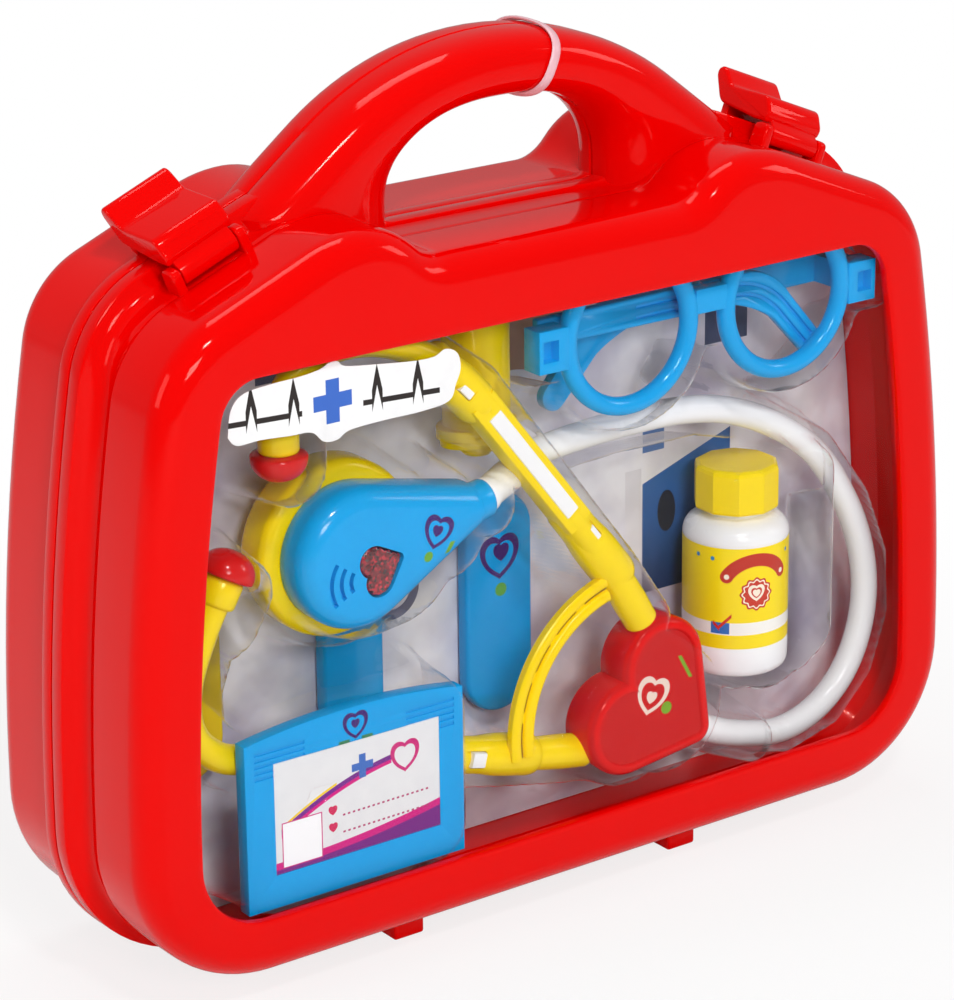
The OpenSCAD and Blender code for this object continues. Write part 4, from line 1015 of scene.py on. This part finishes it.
def makeArms():
    upper = curveLine(upperArm, 8)
    lower = curveLine(lowerArm, 8)
    finished(smooth(moulded("upperEarTube", sweptRings(upper, 4.0)), 60), "case_front", yellow,
             "yellow_plastic", "ear_tube_upper")
    finished(smooth(moulded("lowerEarTube", sweptRings(lower, 4.2)), 60), "case_front", yellow,
             "yellow_plastic", "ear_tube_lower")
    # the straight part of the upper arm is a channel with a white strip in it
    channel = smooth(barPiece("armChannel", (-27, 53.5), (6, 11.5), 9.2, 4.9, 12.3, 1.2), 40)
    finished(channel, "case_front", yellow, "yellow_plastic")
    strip = smooth(barPiece("armStrip", (-23.5, 49), (2.8, 15.4), 4.6, 4.45, 8.0, 0.5), 40)
    finished(strip, "case_front", white, "white_plastic")
    parts = [sleevePiece("upperSleeve", (-41, 68), (-24.2, 50.0), 6.3, 10.6, 0.52),
             sleevePiece("middleSleeve", (3.2, 15.4), (23.4, -10.4), 6.4, 10.6, 0.3),
             sleevePiece("lowerSleeve", (-34, -50.8), (-5, -58.0), 6.2, 13.9, 0.2)]
    nodes = ["arm_sleeves"]
    for sleeve, joint in parts:
        finished(sleeve, "case_front", yellow, "yellow_plastic", *nodes)
        finished(joint, "case_front", white, "white_plastic")
        nodes = []
    # thicker roots of both arms where they enter the heart
    for name, start, end in (("upperRoot", (20, 9.3, -7), (30, 9.0, -24)),
                             ("lowerRoot", (-8, 13.6, -57.3), (12, 13.0, -60.9))):
        root = straightPiece(name, start, end, [(0, 4.6), (0.3, 4.9), (0.6, 5.1), (1, 4.9)])
        finished(smooth(root, 60), "case_front", yellow, "yellow_plastic")


bandSizes = dict(centre=(27, -50), radius=40.5, front=6.2, start=101, end=181)


def makeBand():
    # spring band: two raised ribs over a thin web, with slits along the middle that are not cut but painted
    # dark, as painted shade in the openings
    b = bandSizes
    section = [(-3.7, 3.0), (-3.9, 0.7), (-3.3, 0.1), (-2.6, 0), (-1.2, 0.15), (-0.6, 0.7), (-0.4, 1.3),
               (0.4, 1.3), (0.6, 0.7), (1.2, 0.15), (2.6, 0), (3.3, 0.1), (3.9, 0.7), (3.7, 3.0)]
    rings = []
    for i in range(41):
        angle = b["start"] + 4 + (b["end"] - b["start"] + 2) * i / 40
        out = Vector((math.cos(math.radians(angle)), math.sin(math.radians(angle))))
        rings.append([inWindow(b["centre"][0] + out.x * (b["radius"] + r), b["front"] + y,
                               b["centre"][1] + out.y * (b["radius"] + r)) for r, y in section])

    def slits(finish, base):
        point, x, z, y = finish.spots()
        across, up = x - b["centre"][0], z - b["centre"][1]
        away = (across * across + up * up).math("SQRT")
        turn = up.math("ARCTAN2", across) * (180 / math.pi)
        # painted shade: the slits are dashes of dark brownish yellow on the web, standing for the shade seen
        # through openings
        gaps = (abs(away - b["radius"]) < 0.32) * (abs((turn / 17.0).math("FRACT") - 0.5) < 0.36)
        return finish.mixed(gaps, base, rgb(150, 104, 0))

    band = smooth(moulded("springBand", rings), 40)
    finish = plastic("bandPlastic", rgb(255, 218, 0), 0.2, shine=0.25, pattern=slits)
    return finished(band, "case_front", finish, "yellow_plastic", "spring_band")


def heartOutline(radius, inset, tip):
    # heart of a square and two lobes, with its tip at the origin of the square's corner
    points = arc((tip, tip), tip - inset, 180, 270, 8)
    lobeR = radius - inset
    t = (3 * radius + math.sqrt(max(0.0, 2 * lobeR * lobeR - radius * radius))) / 2
    meet = math.degrees(math.atan2(t - radius, t - 2 * radius))
    points += arc((2 * radius, radius), lobeR, -90, meet, 24)
    points += arc((radius, 2 * radius), lobeR, 90 - meet, 180, 24, 1)
    return [(x - 1.5 * radius, y - 1.5 * radius) for x, y in points]


def heartRing(radius, inset, tip, depth, turn, centre, shrink=1.0):
    a = math.radians(turn + 45)
    return [inWindow(centre[0] + shrink * (x * math.cos(a) - y * math.sin(a)), depth,
                     centre[1] + shrink * (x * math.sin(a) + y * math.cos(a)))
            for x, y in heartOutline(radius, inset, tip)]


heartSizes = dict(lobes=14.5, tip=5.5, centre=(29.5, -46.5), turn=52, front=4.1, thick=13)
creamPrint = rgb(240, 220, 205)


def makeHeart():
    h = heartSizes
    args = (h["turn"], h["centre"])

    def ring(inset, depth):
        return heartRing(h["lobes"], inset, h["tip"], h["front"] + depth, *args)

    rings = [ring(4.1, 1.0), ring(3.7, 0.95), ring(3.5, 0.7), ring(3.3, 0.25), ring(3.1, 0.06), ring(2.8, 0)]
    rings += [ring(2.6 - 2.6 * math.sin(a), 2.6 - 2.6 * math.cos(a))
              for a in (math.pi / 2 * i / 8 for i in range(9))]
    rings += [ring(0, 5), ring(0, h["thick"] - 1), ring(0.4, h["thick"] - 0.2), ring(1.0, h["thick"])]
    heart = smooth(moulded("heartJunction", rings), 40)

    def badge(finish, base):
        point, x, z, y = finish.spots()
        face = (y < h["front"] + 1.3) * (y > h["front"] + 0.5)
        base = finish.mixed(face * 0.35, base, rgb(150, 10, 20))
        inkLines = heartLine(x, z, 31.0, -47.4, 5.2, -20, 0.72) + heartMask(x, z, 31.0, -47.4, 1.7, -20)
        stem = boxMask(x + (z + 36) * 0.55, z, 41, -40.5, 1.3, 7.5)
        leaf = discMask(x, z, 36.6, -51.6, 1.9)
        base = finish.mixed((stem + leaf > 0.5) * face, base, rgb(120, 170, 40))
        return finish.mixed((inkLines > 0.5) * face, base, creamPrint)

    finished(heart, "case_front", plastic("heartPlastic", rgb(226, 0, 0), pattern=badge, **redShine),
             "red_toy", "heart_junction", "junction_badge")


def makeWhiteTube():
    tube = moulded("stethoscopeTube", sweptRings(curveLine(whiteRoute, 8), 4.0))
    finished(smooth(tube, 60), "case_front", white, "white_plastic", "stethoscope_tube")
    cone = straightPiece("tubeConnector", (-24.5, 10.8, 23.6), (-3.5, 17.5, 29.0), [
        (0, 4.2), (0.04, 4.9), (0.12, 5.0), (0.2, 4.5), (0.6, 4.6), (0.9, 4.7), (0.97, 4.5), (1, 4.1)])
    finished(smooth(cone, 40), "case_front", white, "white_plastic", "tube_connector")


chestSizes = dict(centre=(-66, 16.5), round=20, neckAt=(36, 6.0), neckR=6.6, front=4.1, thick=13,
                  button=(2.9, -3.2), disc=25, discThick=14)


def pearRing(inset, depth, shrink=1.0, blunt=0.0):
    # outline round the big round end and the small neck end of the blue shell
    c = chestSizes
    dx, dz = c["neckAt"]
    length = math.hypot(dx, dz)
    lean = math.degrees(math.atan2(dz, dx))
    spread = math.degrees(math.acos((c["round"] - c["neckR"]) / length))
    points = arc((0, 0), c["round"] - inset, lean + spread, lean + 360 - spread, 44)
    points += arc((dx, dz), max(0.2, c["neckR"] - inset), lean - spread, lean + spread, 16)
    cx, cz = 8, 1.4
    return [inWindow(c["centre"][0] + cx + (x - cx) * shrink, c["front"] + depth + blunt,
                     c["centre"][1] + cz + (z - cz) * shrink) for x, z in points]


def slotCutter(radius):
    c = chestSizes
    middle = (c["centre"][0] - 0.5, c["centre"][1] - 4.7)
    outer, inner = arc(middle, radius + 0.62, 146, 212, 14), arc(middle, radius - 0.62, 212, 146, 14)
    return moulded("slot", [[inWindow(x, y, z) for x, z in outer + inner] for y in (1.0, 6.5)])


def makeChestPiece():
    c = chestSizes
    x0, z0 = c["centre"]
    front = [pearRing(6.0, 0.75, s, 0.0) for s in (0.12, 0.4, 0.7, 0.9)]
    crown = [0.0, 0.1, 0.3, 0.55]
    front = [[point + Vector((0, (k - 0.75) * millimetre, 0)) for point in ring]
             for ring, k in zip(front, crown)]
    shoulders = [pearRing(6 - 6 * math.sin(a), 0.75 + 6 * (1 - math.cos(a)))
              for a in (math.pi / 2 * i / 10 for i in range(11))]
    back = [pearRing(0, 10), pearRing(0, c["thick"] - 0.6), pearRing(0.5, c["thick"])]
    shell = smooth(moulded("chestShell", front + shoulders + back), 40)
    bx, bz = x0 + c["button"][0], z0 + c["button"][1]
    hole = moulded("hole", [heartRing(4.3, -0.35, 1.4, y, 109, (bx, bz)) for y in (1.0, 7.0)])
    cut(shell, hole, slotCutter(5), slotCutter(8), slotCutter(11))
    smooth(shell, 40)

    def motif(finish, base):
        point, x, z, y = finish.spots()
        line = heartLine(x, z, -43.4, 19.4, 4.3, -20, 0.7) + heartMask(x, z, -43.4, 20.2, 1.5, -20)
        leaf = discMask(x, z, -46.2, 13.6, 1.5) + boxMask(x - z * 0.5, z, -46.0, 14.6, 1.8, 3.2)
        front = y < c["front"] + 5.0
        base = finish.mixed((leaf > 0.5) * front, base, rgb(110, 170, 50))
        base = finish.mixed((line > 0.5) * front, base, rgb(66, 34, 110))
        # painted shade: faces more than 2.5 mm behind the front near the middle, the floor and inner walls of
        # the button's hole, are painted dark blue
        deep = (y > c["front"] + 2.5) * discMask(x, z, x0, z0, 14) * (y < c["front"] + 8)
        return finish.mixed(deep, base, rgb(0, 66, 120))

    finished(shell, "case_front", plastic("chestPlastic", rgb(0, 166, 236), 0.13, shine=0.3, pattern=motif),
             "blue_plastic", "chest_shell")
    lip = straightPiece("chestLip", (x0 + 33, 10.8, z0 + 5.6), (x0 + 43.8, 11.1, z0 + 7.3), [
        (0, 6.2), (0.5, 6.1), (0.54, 5.7), (0.9, 5.6), (0.97, 5.3), (1, 4.8)])
    finished(smooth(lip, 40), "case_front", blue, "blue_plastic")

    def discRing(radius, depth):
        return [inWindow(x0 + radius * math.cos(2 * math.pi * k / 72), c["front"] + c["thick"] + depth,
                         z0 + radius * math.sin(2 * math.pi * k / 72)) for k in range(72)]

    r, t = c["disc"], c["discThick"]
    rim = [discRing(r - 4 + 4 * math.sin(a), 3.2 - 3.2 * math.cos(a))
           for a in (math.pi / 2 * i / 8 for i in range(9))]
    disc = moulded("chestDisc", [discRing(r - 9, -0.6), discRing(r - 6, -0.4)] + rim + [
        discRing(r, t - 4), discRing(r - 0.5, t - 2.4), discRing(r - 2, t - 0.9), discRing(r - 4.5, t),
        discRing(8, t)])
    finished(smooth(disc, 50), "case_front", yellow, "yellow_plastic", "chest_disc")

    button = [heartRing(4.3, 3.1 if i == 0 else 1.3 - 1.3 * math.sin(a), 3.4 if i == 0 else 1.4,
                        c["front"] + 0.35 + 1.3 - 1.3 * math.cos(a), 109, (bx, bz),
                        0.5 if i == 0 else 1.0)
              for i, a in ((i, math.pi / 2 * max(0, i - 1) / 6) for i in range(8))]
    button = button[1:] + [heartRing(4.3, 0, 1.4, c["front"] + y, 109, (bx, bz)) for y in (3.0, 4.0)]
    heart = smooth(moulded("heartButton", button), 50)
    finish = Finish("buttonPlastic")
    point = finish.node("TexCoord", dict(out="Object"))
    cells = finish.node("TexVoronoi", dict(out="Color"), Vector=point, Scale=1500)
    glitter = finish.node("SeparateColor", {}, cells)
    tone = finish.mixed(glitter ** 3, rgb(70, 4, 14), rgb(205, 30, 50))
    height = finish.node("TexVoronoi", {}, Vector=point, Scale=1100)
    bump = finish.node("Bump", {}, Height=height, Strength=0.25, Distance=0.0003)
    shader = finish.node("BsdfPrincipled", {}, Base_Color=tone, Roughness=0.16, Normal=bump)
    shader.socket.node.inputs["Coat Weight"].default_value = 0.8
    finished(heart, "heart_button", finish.done(shader), "button_red", "heart_button")


def makeEarPieces():
    # red soft cups with their flat side towards the yellow collar
    for index, (spot, turn) in enumerate(((upperArm[0], 0), (lowerArm[0], 208))):
        a = math.radians(turn)
        down = Vector((-math.sin(a), 0, -math.cos(a)))
        top = Vector(spot) + down * 4.0
        r = 7.8
        profile = [(0, r - 2.0), (0.03, r - 0.5), (0.09, r - 0.05), (0.16, r)]
        profile += [(0.16 + 0.84 * math.sin(b), max(0.3, r * math.cos(b) ** 0.9))
                    for b in (math.pi / 2 * i / 12 for i in range(1, 13))]
        cup = straightPiece(("upperTip", "lowerTip")[index], top, top + down * r, profile, 36)
        finished(smooth(cup, 50), "case_front", redToy, "red_toy", *(["ear_tips"] if index == 0 else []))
        collar = straightPiece(("upperCollar", "lowerCollar")[index], top, top - down * 7.9, [
            (0, 4.6), (0.04, 5.3), (0.12, 5.6), (0.86, 5.5), (0.95, 5.1), (1, 4.4)], 32)
        finished(smooth(collar, 50), "case_front", yellow, "yellow_plastic",
                 *(["ear_collars"] if index == 0 else []))


makeArms()
makeBand()
makeHeart()
makeWhiteTube()
makeChestPiece()
makeEarPieces()
coloured("circuit_board", plastic("boardLacquer", rgb(20, 110, 50), 0.35))
coloured("button_cells", steel)
coloured("speaker", plastic("speakerPlastic", rgb(40, 40, 44), 0.45))
print("stethoscope")

# glasses
templeSizes = dict(hinge=(-3.5, 66.2), front=11.9, start=34, length=69.5, bend=48, bendR=24, leg=15)


def templeGroove(offset, deep=0.9):
    # a channel that follows the temple from its middle round the bend to its tip
    t = templeSizes
    x0, z0 = t["hinge"]
    radius = t["bendR"] + offset
    line = [(t["start"], offset, 0)] + [
        (t["length"] + radius * math.sin(a), radius * math.cos(a) - t["bendR"], a)
        for a in (math.radians(t["bend"]) * i / 10 for i in range(11))]
    x, z, a = line[-1]
    line.append((x + t["leg"] * math.cos(a), z - t["leg"] * math.sin(a), a))
    return moulded("groove", [[
        inWindow(x0 + x + math.sin(a) * w, t["front"] + y, z0 + z + math.cos(a) * w)
        for w, y in ((-0.7, -0.5), (0.7, -0.5), (0.45, deep), (-0.45, deep))] for x, z, a in line])


for node, name, edge in (("glasses_frame", "glassesFrame", 0.35), ("glasses_temple_left", "leftTemple", 0.6),
                         ("glasses_temple_right", "rightTemple", 0.6)):
    piece = dressed(node, name, edge, 2, 50)
    if name == "leftTemple":
        cut(piece, templeGroove(1.5), templeGroove(-1.5))
    finished(piece, "case_front", blue, "blue_plastic", node)
print("glasses")

# bottle
bottleSizes = dict(at=(74, 19.7, -50.7), radius=15.6, height=62.5, capRadius=12.6, capHeight=13.5,
                   labelLow=9.5, labelHigh=40.5, labelTurn=4.4, arch=26.2, badge=26.4, strip=15.7)


def bottleRing(radius, height, sides=72, facets=0.0):
    x0, y0, z0 = bottleSizes["at"]
    ring = []
    for k in range(sides):
        a = 2 * math.pi * k / sides
        r = radius
        if facets:
            off = (a + math.pi / 10) % (math.pi / 5) - math.pi / 10
            flat = radius * math.cos(math.pi / 10) / math.cos(off)
            r = radius * (1 - facets) + flat * facets
        ring.append(inWindow(x0 + r * math.cos(a), y0 + r * math.sin(a), z0 + height))
    return ring


def makeBottle():
    b = bottleSizes
    r, top, low, high = b["radius"], b["height"] - b["capHeight"], b["labelLow"], b["labelHigh"]
    profile = [(r - 5, 0.6), (r - 3.4, 0.0), (r - 1.6, 0.3), (r - 0.5, 1.2), (r, 2.8), (r, low - 0.2),
               (r - 0.12, low), (r - 0.12, high), (r, high + 0.2), (r, top - 7.4), (r - 0.4, top - 5.6),
               (r - 1.5, top - 3.9), (r - 3.2, top - 2.6), (r - 5.4, top - 1.8), (9.3, top - 1.3),
               (9.2, top + 5)]
    bottle = smooth(moulded("bottleBody", [bottleRing(radius, height) for radius, height in profile]), 50)
    finished(bottle, "case_front", white, "white_plastic", "bottle_body")
    c, h = b["capRadius"], b["capHeight"]
    rings = [bottleRing(c - 1.4, top + 0.1, 80, 0.9), bottleRing(c - 0.3, top + 0.3, 80, 0.9),
             bottleRing(c, top + 1.0, 80, 0.95), bottleRing(c, top + h - 1.6, 80, 0.95),
             bottleRing(c - 0.35, top + h - 0.6, 80, 0.9), bottleRing(c - 1.4, top + h, 80, 0.9),
             bottleRing(c - 5, top + h - 0.1, 80, 0.5)]
    finished(smooth(moulded("bottleCap", rings), 12), "bottle_cap", yellow, "yellow_plastic", "bottle_cap")


def labelPrint(finish, base):
    # yellow wrap-round label: a red arch, a scalloped badge with a heart, dots and a white band
    b = bottleSizes
    point, x, z, y = finish.spots()
    x0, y0, z0 = b["at"]
    u = (x - x0).math("ARCTAN2", y0 - y) * b["radius"] + b["labelTurn"]
    v = z - z0
    red, cream = rgb(196, 46, 28), rgb(252, 240, 222)
    archAt, badgeAt, stripAt = b["arch"], b["badge"], b["strip"]

    def ends(radius):
        return discMask(u, v, 9.0, archAt + 5.7, radius) + discMask(u, v, -9.0, archAt + 5.7, radius)

    base = finish.mixed(finish.grain(160, 2), rgb(255, 224, 0), rgb(255, 230, 8))
    away = (u * u + (v - archAt) * (v - archAt)).math("SQRT")
    lift = (v - archAt).math("ARCTAN2", u)
    arch = (abs(away - 10.7) < 1.95) * (abs(lift - math.pi / 2) < 1.0)
    base = finish.mixed((arch + ends(1.95)) > 0.5, base, red)
    scallop = ((v - badgeAt).math("ARCTAN2", u) * 12.0).math("COSINE") * 0.3
    centreAway = (u * u + (v - badgeAt) * (v - badgeAt)).math("SQRT")
    badge = centreAway < scallop + 4.9
    base = finish.mixed(badge, base, rgb(205, 56, 34))
    ringLine = (abs(centreAway - scallop - 4.1) < 0.22) * badge
    base = finish.mixed((ringLine + heartMask(u, v, 0, badgeAt, 2.3) + ends(0.8)) > 0.5, base, cream)
    base = finish.mixed(heartLine(u, v, 0, badgeAt + 0.1, 1.5, 0, 0.7), base, rgb(205, 56, 34))
    for du, dv in ((-18.3, 37.6), (-13.3, 37.2), (12.0, 37.5), (20, 36)):
        base = finish.mixed(discMask(u, v, du, dv, 0.65), base, rgb(60, 140, 200))
    base = finish.mixed(abs(v - stripAt) < 1.9, base, rgb(250, 248, 242))
    base = finish.mixed(boxMask(u, v, -10.8, stripAt + 0.2, 5.6, 3.5), base, rgb(50, 110, 190))
    tick = (abs(v - stripAt - 0.6 - (u + 11.0)) < 0.6) * (abs(u + 9.3) < 1.9) + (
        (abs(v - stripAt - 0.3 + (u + 11.4)) < 0.6) * (abs(u + 12.0) < 1.0))
    return finish.mixed(tick > 0.5, base, rgb(214, 40, 24))


makeBottle()
coloured("bottle_label", printed("bottleLabelPaper", labelPrint, 0.3))
print("bottle")

# name card
cardSizes = dict(at=(-107, -75.2), paper=(9, 9.5, 54, 32.5))


def cardPrint(finish, base):
    # white paper with a photo box, dotted lines to write on, small hearts and a two-colour wave
    point, x, z, y = finish.spots()
    (left, low), (inset, sill, width, _) = cardSizes["at"], cardSizes["paper"]
    u, v = x - left - inset, z - low - sill
    base = finish.mixed(finish.grain(200, 2), rgb(226, 226, 228), rgb(236, 236, 236))
    rise = (u / width) * (u / width) * 5.0
    base = finish.mixed(v < rise + 3.4, base, rgb(212, 20, 130))
    base = finish.mixed(v < rise + 1.3, base, rgb(120, 30, 130))
    ribbon = (u - 4) * 0.30 + 14.6 - (u - 24) * (u - 24) * 0.006
    band = (u > 2) * (u < 38)
    base = finish.mixed((abs(v - ribbon - 1.0) < 0.8) * band, base, rgb(120, 40, 140))
    base = finish.mixed((abs(v - ribbon + 0.2) < 0.55) * band, base, rgb(212, 20, 130))
    base = finish.mixed((abs(v - ribbon - 2.2) < 0.35) * (u > 2) * (u < 20), base, rgb(240, 200, 20))
    for height in (11.6, 6.6):
        row = (abs(v - height - u * 0.012) < 0.28) * (u > 21) * (u < 50)
        dots = row * (((u * 0.62).math("FRACT") - 0.5) > 0.0)
        base = finish.mixed(dots, base, rgb(180, 60, 110))
        base = finish.mixed(heartMask(u, v, 18.6, height + 2.2, 1.25), base, rgb(210, 40, 90))
    inner = boxMask(u, v, 8.6, 8.0, 12.3, 12.7)
    base = finish.mixed(boxMask(u, v, 8.6, 8.0, 13, 13.4), base, rgb(205, 60, 130))
    base = finish.mixed(inner, base, rgb(250, 250, 251))
    base = finish.mixed(heartLine(u, v, 42.5, 23.2, 4.2, 0, 0.72), base, rgb(205, 40, 120))
    cross = (boxMask(u, v, 28.5, 24.6, 7, 2.2) + boxMask(u, v, 28.5, 24.6, 2.2, 7)) > 0.5
    return finish.mixed(cross, base, rgb(66, 110, 190))


def holderMotif(finish, base):
    point, x, z, y = finish.spots()
    line = heartLine(x, z, -71.5, -29.2, 3.6, 0, 0.7) + heartMask(x, z, -71.5, -28.4, 1.2)
    leaf = boxMask(x, z, -71.5, -33.0, 11, 1.5) * (abs(x + 71.5) > 2.0)
    front = y < 5.0
    base = finish.mixed(leaf * front, base, rgb(60, 130, 90))
    return finish.mixed((line > 0.5) * front, base, rgb(66, 34, 110))


holderPlastic = plastic("holderPlastic", rgb(0, 162, 232), 0.17, shine=0.25, pattern=holderMotif)
finished(dressed("card_holder", "cardHolder", 0.3, 2), "case_front", holderPlastic, "blue_plastic",
         "card_holder")
coloured("card_label", printed("cardPaper", cardPrint, 0.3))
print("name card")


# toys behind the others
def spatulaMotif(finish, base):
    point, x, z, y = finish.spots()
    line = heartLine(x, z, -3, -5, 6.0, 0, 0.72) + heartMask(x, z, -2.4, -3.2, 2.4)
    leaf = discMask(x, z, -2.6, -14.0, 2.0)
    base = finish.mixed(leaf, base, rgb(90, 160, 60))
    return finish.mixed(line > 0.5, base, rgb(66, 34, 110))


def yellowMotif(finish, base):
    point, x, z, y = finish.spots()
    line = heartLine(x, z, -108, -6, 6.5, 0, 0.72)
    return finish.mixed(line, base, rgb(190, 70, 20))


spatulaPlastic = plastic("blueSpatulaPlastic", rgb(0, 156, 228), 0.2, shine=0.25, pattern=spatulaMotif)
yellowPrinted = plastic("yellowSpatulaPlastic", rgb(250, 214, 0), 0.24, pattern=yellowMotif)
backRow = [  # CAD node, piece, rounding of its edges, cuts round it, smoothing angle, material, slot
    ("blue_spatula", "blueSpatula", 1.2, 3, 35, spatulaPlastic, "blue_plastic"),
    ("yellow_spatula", "yellowSpatula", 1.2, 3, 35, yellowPrinted, "yellow_plastic"),
    ("blue_tweezers", "blueTweezers", 1.2, 3, 35, blue, "blue_plastic"),
    ("yellow_syringe", "yellowSyringe", 0.6, 2, 50, yellow, "yellow_plastic"),
]
for node, name, edge, segments, angle, material, slotName in backRow:
    finished(dressed(node, name, edge, segments, angle), "case_front", material, slotName, node)
print("back row")


floorSizes = dict(size=30, near=0.13, far=0.36, veil=0.8)


def makeFloor():
    # pale floor that turns to plain white for the eye away from the case and keeps its shadow near it
    f = floorSizes
    deselectAll()
    bpy.ops.mesh.primitive_plane_add(size=f["size"])
    floor = bpy.context.object
    floor.name = "floor"
    finish = Finish("paleFloor")
    point = finish.node("TexCoord", dict(out="Object"))
    away = finish.node("VectorMath", dict(operation="LENGTH", out="Value"), point)
    ease = dict(interpolation_type="SMOOTHSTEP")
    white = finish.node("MapRange", ease, away, f["near"], f["far"], f["veil"], 1.0)
    path = finish.node("LightPath", {}).socket.node
    seen = [Wire(finish, path.outputs[key]) for key in ("Is Camera Ray", "Is Transmission Ray")]
    seen = (seen[0] + seen[1]).math("MINIMUM", 1.0)
    tone = finish.mixed(finish.grain(6, 2), (0.86, 0.86, 0.865, 1), (0.90, 0.90, 0.90, 1))
    ground = finish.node("BsdfPrincipled", {}, Base_Color=tone, Roughness=0.9)
    glow = finish.node("Emission", {}, (1, 1, 1, 1), 1.0)
    floor.data.materials.append(finish.done(finish.node("MixShader", {}, white * seen, ground, glow)))


makeFloor()
